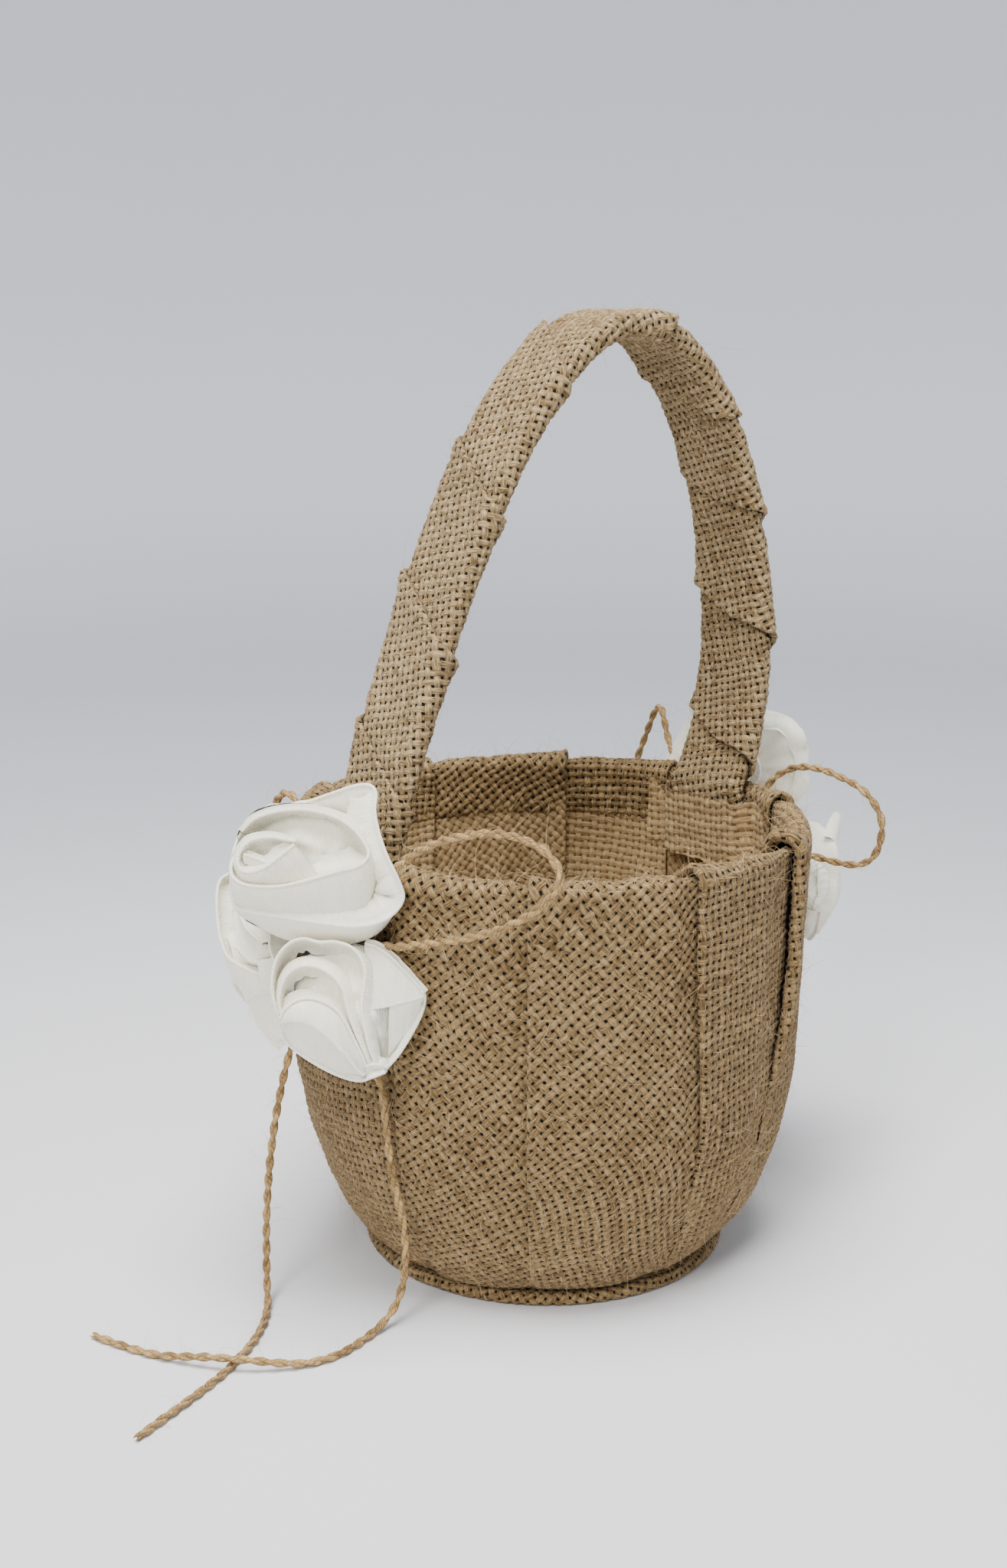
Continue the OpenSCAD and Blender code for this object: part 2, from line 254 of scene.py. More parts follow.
def burlap_material(name, light, dark, gap_shade_and_fleck, seed):
    """Plain weave of two-tone jute threads; the UV map counts threads both ways. Painted shade
    darkens the gaps between threads and the parts where a thread dives under the next.
    """
    net = Net(name, Roughness=0.92, Sheen_Weight=0.06, Specular_IOR_Level=0.15)
    across, along = net.weave_axes()

    def thread(side, run, sign):
        """Height, number and place of the threads that are counted by side."""
        number = net.math("FLOOR", side)
        off = (side - number - 0.5) * (1 / THREAD_HALF)
        inside = 1.0 - off * off
        rise = net.math("SQRT", net.math("MAXIMUM", inside, 0.0))
        odd = net.math("FLOORED_MODULO", number, 2.0)
        over = net.math("COSINE", (run - 0.5) * math.pi) * (1.0 - odd * 2.0) * sign
        height = net.math("GREATER_THAN", inside, 0.0) * (
            over * 0.5 + rise * 0.55 + 0.95
        ) - 1.0
        return height, number

    warp, warp_number = thread(across, along, 1.0)
    weft, weft_number = thread(along, across, -1.0)
    height = net.math("MAXIMUM", warp, weft)
    warp_on_top = net.math("GREATER_THAN", warp, weft)
    weft_on_top = 1.0 - warp_on_top

    warp_fibre = net.noise(net.vector(across * 5.0, along * 0.7, seed), 1.6, 3.0)
    weft_fibre = net.noise(net.vector(across * 0.7, along * 5.0, seed + 9), 1.6, 3.0)
    fibre = warp_fibre * warp_on_top + weft_fibre * weft_on_top
    slub = net.noise(net.vector(across * 0.6, along * 0.6, seed + 3), 1.0, 2.0)
    patch = net.noise(net.vector(across * 0.09, along * 0.09, seed + 5), 1.0, 2.0)
    own = (
        net.random(net.vector(warp_number, seed + 1)) * warp_on_top
        + net.random(net.vector(seed + 2, weft_number)) * weft_on_top
    )
    tone = net.ramp(fibre * 1.9 + own * 0.2 + slub * 0.45 + patch * 0.25, 0.92, 1.88)
    colour = net.mix(tone, dark, light)
    # Random flecks, tinted part way towards the painted gap shade colour
    fleck = net.ramp(net.noise(net.vector(across * 2.0, along * 2.0, seed), 2.2, 3.0), 0.64, 0.76)
    colour = net.mix(fleck * 0.4, colour, gap_shade_and_fleck)
    # Painted shade: the weave's low parts and the gaps between threads turn to the gap shade
    # colour
    colour = net.mix(net.ramp(height, -0.8, 0.85), gap_shade_and_fleck, colour)
    return net.finish(colour, bump=height * 0.9 + fibre * 0.9, depth=0.0005, strength=0.8)


def twine_material():
    net = Net("jute_twine", Roughness=0.85, Sheen_Weight=0.08, Specular_IOR_Level=0.25)
    around, along = net.weave_axes()
    fibre = net.noise(net.vector(around * 9.0 + along * 1.1, along * 0.22), 1.4, 4.0)
    blotch = net.noise(net.vector(around, along * 0.12), 1.0, 2.0)
    tone = net.ramp(fibre * 1.4 + blotch * 0.7, 0.75, 1.45)
    colour = net.mix(tone, srgb(102, 74, 38), srgb(202, 168, 112))
    return net.finish(colour, bump=fibre, depth=0.0004, strength=0.9)


def fibre_material():
    """Single jute hairs, paler than the spun thread."""
    net = Net("loose_jute", Roughness=0.6)
    uv = net.node("ShaderNodeUVMap", 0, {"uv_map": WEAVE_UV})
    tone = net.random(net.node("ShaderNodeVectorMath", 0, {"operation": "FLOOR"}, Vector=uv))
    return net.finish(net.mix(tone, srgb(168, 130, 78), srgb(222, 196, 150)))


def satin_material():
    """Ivory satin with a fine ribbed weave, a little light passing through it."""
    net = Net(
        "ivory_satin", Roughness=0.4, Sheen_Weight=0.3, Sheen_Roughness=0.35,
        Subsurface_Weight=0.12, Subsurface_Scale=0.004, IOR=1.45,
    )
    along, across = net.weave_axes()
    ribs = net.math("SINE", along * (2 * math.pi / 0.42))
    grain = net.noise(net.vector(along * 2.2, across * 0.5), 2.0, 3.0)
    cloud = net.noise(net.vector(along * 0.06, across * 0.06), 1.0, 2.0)
    colour = net.mix(cloud, srgb(251, 244, 218), srgb(255, 251, 238))
    colour = net.mix(net.ramp(grain, 0.35, 0.75) * 0.2, colour, srgb(238, 228, 200))
    bump = ribs * 0.35 + grain
    rough = grain * 0.16 + 0.34
    return net.finish(colour, rough, bump, depth=0.0002, strength=0.75)


def speckled_material(name, base, speck, scale, roughness, depth):
    """Felt, pulp board or glue: one colour with specks of another and a fine grain."""
    net = Net(name, Roughness=roughness)
    where = net.node("ShaderNodeTexCoord", 3)
    grain = net.noise(where, scale, 4.0)
    cloud = net.noise(where, scale / 12, 2.0)
    colour = net.mix(net.ramp(grain, 0.45, 0.7), base, speck)
    colour = net.mix(cloud * 0.3, colour, speck)
    return net.finish(colour, bump=grain, depth=depth, strength=0.8)


def stage_material():
    """Table paper painted light near the basket and greyer further out as painted light fall-off,
    and a pale cool backdrop beyond it, painted paler where the wall gets little light.
    """
    net = Net("table_paper", Roughness=0.85, Specular_IOR_Level=0.2)
    where = net.node("ShaderNodeTexCoord", 3)
    far = net.node("ShaderNodeVectorMath", 1, {"operation": "LENGTH"}, Vector=where)
    cloud = net.noise(where, 3.0, 3.0)
    # Painted light: the paper is lightest near the middle and greys further out
    colour = net.mix(net.ramp(far, 0.05, 0.55), srgb(228, 227, 228), srgb(191, 194, 199))
    # Painted light: the wall far out is painted pale where little light reaches it
    colour = net.mix(net.ramp(far, 0.75, 1.5), colour, srgb(236, 238, 243))
    return net.finish(net.mix(cloud * 0.06, colour, srgb(150, 152, 156)))


# The third jute colour is painted shade for the gaps between threads; random flecks take some of
# it too
JUTE_LIGHT, JUTE_DARK, JUTE_GAP_SHADE_AND_FLECK = srgb(162, 136, 95), srgb(80, 58, 30), srgb(12, 8, 3)
MATERIALS = {
    "burlap_outer": burlap_material("burlap_outer", JUTE_LIGHT, JUTE_DARK, JUTE_GAP_SHADE_AND_FLECK, 1),
    # The lining's burlap is painted lighter than the outer cover, with pale gaps: painted light
    # that offsets the shade inside the basket. The handle patches use it too.
    "burlap_inner": burlap_material(
        "burlap_inner", srgb(184, 158, 116), srgb(148, 120, 80), srgb(104, 80, 48), 30
    ),
    "burlap_handle": burlap_material(
        "burlap_handle", srgb(182, 157, 116), srgb(90, 67, 36), JUTE_GAP_SHADE_AND_FLECK, 60
    ),
    "burlap_base": burlap_material(
        "burlap_base", srgb(166, 139, 97), srgb(84, 62, 32), JUTE_GAP_SHADE_AND_FLECK, 90
    ),
    "card": speckled_material(
        "pulp_board", srgb(132, 110, 88), srgb(104, 84, 64), 900, 0.95, 0.0003
    ),
    "satin": satin_material(),
    "felt": speckled_material(
        "white_felt", srgb(232, 229, 220), srgb(206, 201, 188), 1500, 0.95, 0.0004
    ),
    "twine": twine_material(),
    "fibre": fibre_material(),
    "glue": speckled_material(
        "set_glue", srgb(232, 228, 212), srgb(214, 208, 188), 300, 0.35, 0.0003
    ),
}


# ---- Mesh helpers ----

def grid_faces(rows, columns, ring=False, flip=False):
    """Faces of a grid of points, row by row; a ring joins its last column to its first."""
    i = np.arange(rows - 1)[:, None]
    j = np.arange(columns if ring else columns - 1)[None, :]
    k = (j + 1) % columns
    corners = [i * columns + j, i * columns + k, (i + 1) * columns + k, (i + 1) * columns + j]
    return np.stack(corners[::-1] if flip else corners, -1).reshape(-1, 4)


class Cloth:
    """Collects grids of points with their weave coordinates, and makes one piece of them."""

    def __init__(self):
        self.points, self.uvs, self.faces, self.count = [], [], [], 0

    def add(self, points, uv, ring=False, flip=False, keep=None):
        """One more grid; with keep, only faces that touch a kept point."""
        rows, columns = points.shape[:2]
        faces = grid_faces(rows, columns, ring, flip)
        if keep is not None:
            faces = faces[keep.reshape(-1)[faces].any(1)]
        self.points.append(points.reshape(-1, 3))
        self.uvs.append(uv.reshape(-1, 2))
        self.faces.append(faces + self.count)
        self.count += rows * columns

    def make(self, name, slot, *nodes, material=None):
        """One piece on the body; nothing of it goes below the table."""
        points = np.concatenate(self.points) * MM
        points[:, 2] = np.maximum(points[:, 2], 0.0)
        faces = np.concatenate(self.faces)
        used = np.zeros(len(points), bool)
        used[faces] = True
        new = np.cumsum(used) - 1
        faces = new[faces]
        points, uv = points[used], np.concatenate(self.uvs)[used]
        mesh = bpy.data.meshes.new(name)
        mesh.vertices.add(len(points))
        mesh.vertices.foreach_set("co", points.astype(np.float32).ravel())
        mesh.loops.add(faces.size)
        mesh.loops.foreach_set("vertex_index", faces.astype(np.int32).ravel())
        mesh.polygons.add(len(faces))
        mesh.polygons.foreach_set("loop_start", np.arange(0, faces.size, 4, dtype=np.int32))
        mesh.update(calc_edges=True)
        layer = mesh.uv_layers.new(name=WEAVE_UV)
        layer.data.foreach_set("uv", uv[faces.ravel()].astype(np.float32).ravel())
        mesh.validate()
        mesh.polygons.foreach_set("use_smooth", np.ones(len(mesh.polygons), bool))
        mesh.materials.append(MATERIALS[material or slot])
        piece = add_object(name, mesh)
        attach(piece, BODY)
        if nodes:
            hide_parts(*nodes)
        return piece


def smooth(x):
    """0 below 0, 1 above 1, and a soft step between."""
    x = np.clip(x, 0, 1)
    return x * x * (3 - 2 * x)


def ripple(seed, length, *axes):
    """Smooth noise from about -1 to 1, made of seven waves near the given length."""
    random = np.random.default_rng(seed)
    total = 0
    for _ in range(7):
        ways = random.normal(size=len(axes)) * 2 * np.pi / length
        total = total + np.sin(sum(w * a for w, a in zip(ways, axes)) + random.uniform(0, 6.28))
    return total / 3.5


def weave_height(across, along):
    """Height of a plain weave, from -1 in a hole to 1 on a crown, at two thread counts."""
    def thread(side, run, sign):
        number = np.floor(side)
        inside = 1 - ((side - number - 0.5) / THREAD_HALF) ** 2
        over = np.cos(np.pi * (run - 0.5)) * (1 - 2 * (number % 2)) * sign
        height = 0.5 * over + 0.55 * np.sqrt(np.maximum(inside, 0)) - 0.05
        return np.where(inside > 0, height, -1)
    return np.maximum(thread(across, along, 1), thread(along, across, -1))


def soft_weave(across, along):
    """The weave's height, averaged over about one mesh step so that a mesh can carry it."""
    total = 2 * weave_height(across, along)
    for da, db in ((0.13, 0.13), (-0.13, 0.13), (0.13, -0.13), (-0.13, -0.13)):
        total = total + weave_height(across + da, along + db)
    return total / 6


def thread_counts(x, y, turn, seed):
    """Weave coordinates of cloth at x, y, its threads turned by an angle and a little uneven."""
    c, s = np.cos(turn), np.sin(turn)
    first = 200              # keeps the counts above zero
    return [
        straight / THREAD + first
        + 0.25 * ripple(seed + k, 34, x, y) + 0.08 * ripple(seed + k + 1, 6, x, y)
        for k, straight in ((0, x * c + y * s), (2, y * c - x * s))
    ]


def lip_fold(fold, under, tuck, axis):
    """The edge of a folded lip, from its tucked end round the bend to the lip's start.

    Returns the place along the cloth, the height and the length along the cut, with the
    samples on the given axis. fold is the bend's radius and tuck the places of the end.
    """
    bend = np.expand_dims(np.radians([-90, -120, -150, -180, -210, -240]), 1 - axis)
    x = np.concatenate([tuck, fold + fold * np.cos(bend)], axis)
    y = np.concatenate([under + 0 * tuck, under + fold - fold * np.sin(-bend)], axis)
    cut = np.concatenate([
        fold - np.pi * fold - (tuck - fold), fold - fold * (bend + np.pi * 1.5),
    ], axis)
    return x, y, cut


def revolved(radius, theta, height):
    """Points at an angle round the axis."""
    return np.stack([radius * np.cos(theta), radius * np.sin(theta), height + 0 * theta], -1)


def resample(path, step):
    """Points at an even step along a line, and their distances along it."""
    path = np.array(path, float)
    along = np.concatenate([[0], np.cumsum(np.linalg.norm(np.diff(path, axis=0), axis=1))])
    t = np.linspace(0, along[-1], int(round(along[-1] / step)) + 1)
    return np.stack([np.interp(t, along, path[:, k]) for k in range(path.shape[1])], 1), t


def side_of(path):
    """Unit normals on the right-hand side of a flat line."""
    d = np.gradient(path, axis=0)
    n = np.stack([d[:, 1], -d[:, 0]], 1)
    return n / np.linalg.norm(n, axis=1)[:, None]


# ---- Body: cover and lining ----

def wall_r(z, depth):
    """Radius of the surface at a depth under the outside face, above the shoulder."""
    share = (z - SHOULDER_Z) / (ROLL_Z - SHOULDER_Z)
    return SHOULDER_R + (RIM_R - SHOULDER_R) * share - depth


def bowl(depth):
    """Outline from the flat bottom up to the shoulder."""
    a = np.radians(np.linspace(0, 90, 60))
    r = FOOT_R + (SHOULDER_R - depth - FOOT_R) * np.sin(a) ** (2 / FULLNESS)
    z = SHOULDER_Z - (SHOULDER_Z - BASE_T - depth) * np.cos(a) ** (2 / FULLNESS)
    return list(zip(r, z))


def roll():
    a = np.radians(np.linspace(0, 180, 25))
    return list(zip(RIM_R - ROLL_R + ROLL_R * np.cos(a), ROLL_Z + ROLL_R * np.sin(a)))


# Each pleat: its angle at the rim, how far it turns by the foot, its lip's height at the
# rim and at the foot, the hollow before it at the rim and at the foot, the hollow's width,
# the depth of the soft valley that takes over below, the height above the floor at which
# the lip starts to show, and the turn of the weave in the next panel at the rim and foot
PLEAT_FIELDS = (
    "angle", "drift", "lip_top", "lip_low", "dip_top", "dip_low", "hollow", "valley", "show",
    "turn_top", "turn_low",
)
PLEATS = [SimpleNamespace(**dict(zip(PLEAT_FIELDS, row))) for row in (
    (-162.0, 0.0, 1.9, 1.0, 1.1, 0.6, 5.5, 0.5, 5, 41.0, 30.0),
    (-133.0, 0.0, 1.5, 0.3, 1.4, 0.4, 5.0, 0.9, 8, 40.0, 22.0),
    (-98.0, 6.0, 2.2, 0.05, 1.9, 0.05, 6.0, 1.3, 20, 3.0, 4.0),
    (-65.5, -5.5, 3.3, 0.05, 3.4, 0.05, 13.0, 3.2, 34, 8.0, 20.0),
    (-24.0, 3.0, 1.5, 0.4, 0.9, 0.3, 8.0, 0.8, 10, 40.0, 34.0),
    (17.0, -2.0, 1.3, 0.4, 0.8, 0.3, 7.0, 0.6, 10, 2.0, 6.0),
    (45.5, 0.0, 1.7, 0.5, 0.9, 0.4, 7.0, 0.7, 10, 36.0, 28.0),
    (82.0, 4.0, 1.4, 0.2, 0.9, 0.2, 8.0, 0.8, 14, -3.0, 4.0),
    (118.0, -2.0, 1.8, 0.5, 1.0, 0.4, 8.0, 0.8, 10, 42.0, 30.0),
    (155.0, 3.0, 2.3, 0.3, 1.5, 0.3, 9.0, 1.4, 30, 5.0, 5.0),
)]


def gathered_wall(cloth, path, inside, share, seed, amplitude):
    """Panels of cloth round the axis, each with a folded lip that lies over the last one.

    path is the outline that the cloth follows and share scales the pleats.
    """
    step = COARSE_STEP if inside else STEP
    line, t = resample(path, step)
    normal = side_of(line) * (-1 if inside else 1)
    r, z = line[:, :1], line[:, 1:]
    arm = np.maximum(r, 4)   # panels do not close up at the middle
    over_rim = smooth((t[:, None] - t[np.argmax(line[:, 1])] - 3) / 8)
    drop = 1 - smooth(z / RIM_Z)
    growth = 42              # height over which a pleat grows
    reach = 8                # how far a lip's rise and a valley reach along the cloth
    under = -0.25            # where the cloth under a lip lies
    deepest = COVER_T - 0.6  # no hollow goes deeper than this

    def from_foot(low, high, start):
        return low + (high - low) * smooth((z - start) / growth)

    def relief(low, high, show):
        return from_foot(low, high, show) * share * (1 - 0.5 * over_rim)

    def soft_valley(pleat):
        return from_foot(pleat.valley, 0, pleat.show + 8) * share * smooth(z / 16)

    for k, pleat in enumerate(PLEATS):
        after = PLEATS[(k + 1) % len(PLEATS)]
        end_angle = after.angle + (360 if after.angle < pleat.angle else 0)
        start = np.radians(pleat.angle + pleat.drift * drop)
        width = (np.radians(end_angle + after.drift * drop) - start) * arm
        lip = relief(pleat.lip_low, pleat.lip_top, pleat.show)
        dip = relief(after.dip_low, after.dip_top, after.show)
        hollow = np.minimum(after.hollow, width * 0.4)
        fold = (lip - under) / 2
        f = np.linspace(0, 1, int(round(np.max(width) / step)))[None, :]
        x_main = fold + (width - fold) * f
        y_main = lip * np.exp(-(x_main - fold) / reach)
        y_main = y_main - dip * smooth((x_main - width + hollow) / hollow)
        x_end = width + np.array([[0.8, 1.8, 3.0]])
        y_end = -dip - np.array([[0.15, 0.3, 0.4]]) + 0 * x_end
        tuck = np.minimum(np.array([[4.6, 3.2, 2.0, 1.2]]), width * 0.3) + fold
        x_lip, y_lip, cut_lip = lip_fold(fold, under, tuck, 1)
        x = np.concatenate([x_lip, x_main, x_end], 1)
        y = np.concatenate([y_lip, y_main, y_end], 1)
        y = (y - soft_valley(pleat) * np.exp(-(x / reach) ** 2)
             - soft_valley(after) * np.exp(-((width - x) / reach) ** 2))
        y = np.where(y < 0, deepest * np.tanh(y / deepest), y)
        cut = np.concatenate([cut_lip, x_main, x_end], 1)
        theta = start + x / arm
        turn = np.radians(from_foot(pleat.turn_low, pleat.turn_top, 15))
        down = t[:, None] - t.mean() + 0 * x
        a, b = thread_counts(cut - width / 2, down, turn, seed + 10 * k)
        bulge = 0.3 * ripple(seed + k, 26, x, down) * share
        h = np.maximum(y + bulge + amplitude * soft_weave(a, b), 0.1 - COVER_T)
        points = revolved(r + normal[:, :1] * h, theta, z + normal[:, 1:] * h)
        cloth.add(points, np.stack([a, b], -1), flip=inside)


def outer_burlap():
    """One cut of burlap from under the foot's edge, up the outside and down inside the rim."""
    hem_r = wall_r(HEM_Z, WALL_T)
    path = (
        [(38, BASE_T + 0.45), (42, BASE_T + 0.45)] + bowl(0)[3:] + roll()
        + [(hem_r, HEM_Z + 0.6), (hem_r + 0.4, HEM_Z - 0.2), (hem_r + 1.2, HEM_Z)]
    )
    cloth = Cloth()
    gathered_wall(cloth, path, False, 1.0, 100, 0.55)
    piece = cloth.make("outer_burlap", "burlap_outer", "outer_cover")
    return piece


def lining_burlap():
    depth = WALL_T - 0.25
    path = (
        [(9, BASE_T + depth), (FOOT_R - 3, BASE_T + depth)] + bowl(depth)[3:]
        + [(wall_r(HEM_Z + 3, depth), HEM_Z + 3)]
    )
    cloth = Cloth()
    gathered_wall(cloth, path, True, 0.75, 100, 0.3)
    add_disc(cloth, 30, BASE_T + WALL_T + 0.55, 450, 0.35)
    piece = cloth.make("lining_burlap", "burlap_inner", "lining")
    return piece


def add_disc(cloth, radius, height, seed, amplitude):
    """A flat round of cloth, lying at a height."""
    r = np.linspace(PINHOLE, radius, int(radius / COARSE_STEP))[:, None]
    theta = full_turn(int(2 * np.pi * radius / COARSE_STEP))[None, :]
    x, y = r * np.cos(theta), r * np.sin(theta)
    a, b = thread_counts(x, y, 0.3, seed)
    z = height + amplitude * soft_weave(a, b) + 0.3 * ripple(seed, 22, x, y)
    cloth.add(np.stack([x, y, z], -1), np.stack([a, b], -1), ring=True)


def base_burlap():
    """A round of burlap drawn tight over the base board and turned onto its top."""
    inset = 0.3              # room for the weave inside the CAD outline
    mid = BASE_T / 2
    edge = mid - inset
    rim = BASE_R - edge - inset
    arc = np.radians(np.linspace(-90, 90, 13))
    path = (
        [(PINHOLE, mid - edge)]
        + [(rim + edge * np.cos(a), mid + edge * np.sin(a)) for a in arc]
        + [(36, mid + edge)]
    )
    line, t = resample(path, STEP)
    normal = side_of(line)
    theta = full_turn(int(2 * np.pi * BASE_R / STEP))[None, :]
    far = t[:, None]
    x, y = far * np.cos(theta), far * np.sin(theta)
    a, b = thread_counts(x, y, 0.15, 500)
    h = 0.42 * soft_weave(a, b)
    points = revolved(line[:, :1] + normal[:, :1] * h, theta, line[:, 1:] + normal[:, 1:] * h)
    cloth = Cloth()
    cloth.add(points, np.stack([a, b], -1), ring=True)
    piece = cloth.make("base_burlap", "burlap_base", "base_cover")
    return piece


# ---- Handle ----

def bezier(p, t):
    """Points of a cubic curve with four control points."""
    t = t[:, None]
    return (p[0] * (1 - t) ** 3 + p[1] * 3 * t * (1 - t) ** 2
            + p[2] * 3 * t * t * (1 - t) + p[3] * t ** 3)


def arch_line():
    """Points and headings of the handle's centre line in the XZ plane, evenly spaced."""
    left_foot = np.array([-HANDLE_FOOT_X, RIM_Z])
    right_foot = np.array([HANDLE_FOOT_X, RIM_Z])
    t = np.linspace(0, 1, 120)
    left = bezier([left_foot, left_foot + [14.5, 46], APEX - [38, 0], APEX], t)
    right = bezier([APEX, APEX + [35, 0], right_foot + [24, 42], right_foot], t)
    ends = [[[x, HANDLE_FOOT_Z]] for x in (-HANDLE_FOOT_X, HANDLE_FOOT_X)]
    line, s = resample(np.concatenate([ends[0], left, right[1:], ends[1]]), 0.5)
    heading = np.gradient(line, axis=0)
    for _ in range(6):
        heading[1:-1] = (heading[:-2] + heading[1:-1] + heading[2:]) / 3
    heading /= np.linalg.norm(heading, axis=1)[:, None]
    return line, heading, s


ARCH, ARCH_HEADING, ARCH_S = arch_line()

# Where the lip of each turn of the strip crosses the middle of the strap's outer face, as
# a distance from the left foot; the winding starts at the right foot
FOLDS = [410, 373, 337, 300, 263, 231, 198, 159, 120, 83.5, 43.5, 6, -32]


def strap_section():
    """The strap's rounded cross-section, its normals and its girth.

    Points are off the arch and along Y. They start at the middle of the outer face and
    run towards -Y.
    """
    half_w, half_t = STRAP_W / 2, STRAP_T / 2
    points = []
    for cx, cy, a0 in ((half_t, -half_w, 0), (-half_t, -half_w, -90),
                       (-half_t, half_w, -180), (half_t, half_w, -270)):
        for a in np.radians(a0 - np.linspace(0, 90, 7)):
            points.append((
                cx - math.copysign(STRAP_CORNER, cx) + STRAP_CORNER * np.cos(a),
                cy - math.copysign(STRAP_CORNER, cy) + STRAP_CORNER * np.sin(a),
            ))
    start = [(half_t, 0.0)]
    line, t = resample(start + points + start, STEP)
    return line[:-1], side_of(np.concatenate([line[-2:-1], line]))[1:-1] * -1, t[-1]


def handle_strip():
    """A burlap strip wound from the right foot to the left, each turn over the last."""
    section, normal, girth = strap_section()
    per_turn = len(section)
    column = np.arange(per_turn * (len(FOLDS) - 1) + 1)
    tau = column / per_turn              # turns made so far
    under = -0.1                         # where the strip under a lip lies
    shortest = 20                        # least step from one turn to the next
    edge = np.interp(tau, np.arange(len(FOLDS)), FOLDS)[None, :]
    # The lips of the first turns run on a little further round the strap's -Y edge
    early = smooth((5.5 - tau) / 1.5)[None, :]
    edge = edge - 5.5 * early * np.exp(-((tau % 1 - 0.29) / 0.15) ** 2)[None, :]
    pitch = edge - np.interp(tau + 1, np.arange(len(FOLDS)), FOLDS)[None, :]
    pitch = np.maximum(pitch, shortest)
    lip = 1.5 + 0.35 * np.sin(tau * 2.3)[None, :]
    fold = (lip - under) / 2
    f = np.linspace(0, 1, int(40 / STEP))[:, None]
    x_main = fold + (pitch - fold) * f
    y_main = lip * np.exp(-(x_main - fold) / 7) - 0.35 * smooth((x_main - pitch + 5) / 5)
    x_end = pitch + np.array([[1.0], [2.5], [4.5]])
    y_end = -0.5 + 0 * x_end
    x_lip, y_lip, cut_lip = lip_fold(fold, under, fold + np.array([[4.0], [2.6], [1.2]]), 0)
    x = np.concatenate([x_lip, x_main, x_end])
    y = np.concatenate([y_lip, y_main, y_end])
    cut = np.concatenate([cut_lip, x_main, x_end])
    s = edge - x
    g = tau[None, :] * girth + 0 * s
    a, b = thread_counts(g, edge - cut, math.radians(16), 600)
    h = y + 0.6 * soft_weave(a, b) + 0.15 * ripple(601, 15, g, s)
    on_arch = (s > 0) & (s < ARCH_S[-1])
    s = np.clip(s, 0, ARCH_S[-1])
    at = [np.interp(s, ARCH_S, ARCH[:, k]) for k in range(2)]
    way = [np.interp(s, ARCH_S, ARCH_HEADING[:, k]) for k in range(2)]
    off, side = (
        section[column % per_turn, k][None, :] + normal[column % per_turn, k][None, :] * h
        for k in range(2)
    )
    points = np.stack([at[0] - way[1] * off, side, at[1] + way[0] * off], -1)
    cloth = Cloth()
    cloth.add(points, np.stack([a, b], -1), flip=True, keep=on_arch)
    piece = cloth.make("handle_burlap_strip", "burlap_handle", "handle_wrap")
    return piece


def handle_patch(side):
    """A burlap patch glued over one handle foot, inside the rim."""
    sign = -1 if side == "left" else 1
    step = 0.75
    y = np.linspace(-PATCH_HALF_W, PATCH_HALF_W, int(2 * PATCH_HALF_W / step))[None, :]
    z = np.linspace(PATCH_LOW, PATCH_HIGH, int((PATCH_HIGH - PATCH_LOW) / step))[:, None] + 0 * y
    y = y + 0 * z
    a, b = thread_counts(y, z, 0.05, 700 if side == "left" else 740)
    ragged = 0.5 * ripple(701, 5, y)
    z = z + ragged * (np.abs(z - (PATCH_LOW + PATCH_HIGH) / 2) / 9)
    wall = np.sqrt(wall_r(z, WALL_T) ** 2 - y ** 2)
    foot = HANDLE_FOOT_X - STRAP_T / 2 - 1.6
    over_foot = 1 - smooth((np.abs(y) - STRAP_W / 2 - 0.8) / 4.5)
    x = wall - 0.9 - (wall - 0.9 - foot) * over_foot
    x = x - 0.42 * soft_weave(a, b) - 0.2 * ripple(702, 12, y, z)
    cloth = Cloth()
    cloth.add(np.stack([sign * x, -sign * y, z], -1), np.stack([a, b], -1))
    piece = cloth.make(f"{side}_patch_burlap", "burlap_inner", f"{side}_handle_patch")
    return piece


# ---- Twine bows ----

# The routes of the twine. Those of the right side are drawn as if they were on the left,
# and are turned half round the axis.
LEFT_LOOP_FRONT = [
    [-73.6, -7.5, 107.2], [-73.4, -11, 108.2], [-71.8, -15, 111], [-70.4, -19, 115],
    [-69.6, -24, 120.5], [-69, -31, 126.5], [-67.8, -40, 132], [-66.4, -50, 136],
    [-65, -60, 138.6], [-63.6, -69, 138.9], [-62.4, -76, 137], [-61.8, -80, 133],
    [-62.2, -78.5, 128], [-63.2, -71, 121.5], [-64.4, -62, 116], [-66.2, -51, 111.3],
    [-68, -40, 107.6], [-69.6, -29, 104.2], [-71, -20, 102.8], [-72.8, -12.5, 103.4],
    [-73.6, -7.5, 104.2],
]
LEFT_LOOP_BACK = [
    [-73.6, -0.5, 107.2], [-73.4, 2.5, 109], [-72.4, 5, 114], [-71.8, 7, 120],
    [-71.6, 9.5, 127], [-71.8, 13, 132.8], [-72, 18, 133.5], [-71.8, 23, 129.5],
    [-71, 28.5, 123], [-69.5, 32.5, 115], [-68, 33, 107.5], [-67.6, 29, 102.9],
    [-69, 22, 103.6], [-71.6, 14, 104.6], [-73, 6, 104.4], [-73.6, -0.5, 104.2],
]
RIGHT_LOOP_FRONT = [
    [-73.6, -7.5, 107.2], [-73.4, -10.8, 108.2], [-71.8, -15, 111], [-70.4, -19, 115],
    [-69.4, -23.5, 120], [-70.2, -28.5, 125.5], [-72.4, -33, 130.5], [-74, -36.6, 133.8],
    [-74.6, -39.8, 132.2], [-74.6, -42.4, 127], [-74.4, -45.5, 120], [-73.4, -47.5, 112.5],
    [-71.5, -45, 106.5], [-69.6, -37, 104], [-69.8, -28, 103], [-71.2, -19.5, 102.9],
    [-72.9, -12.5, 103.6], [-73.6, -7.5, 104.2],
]
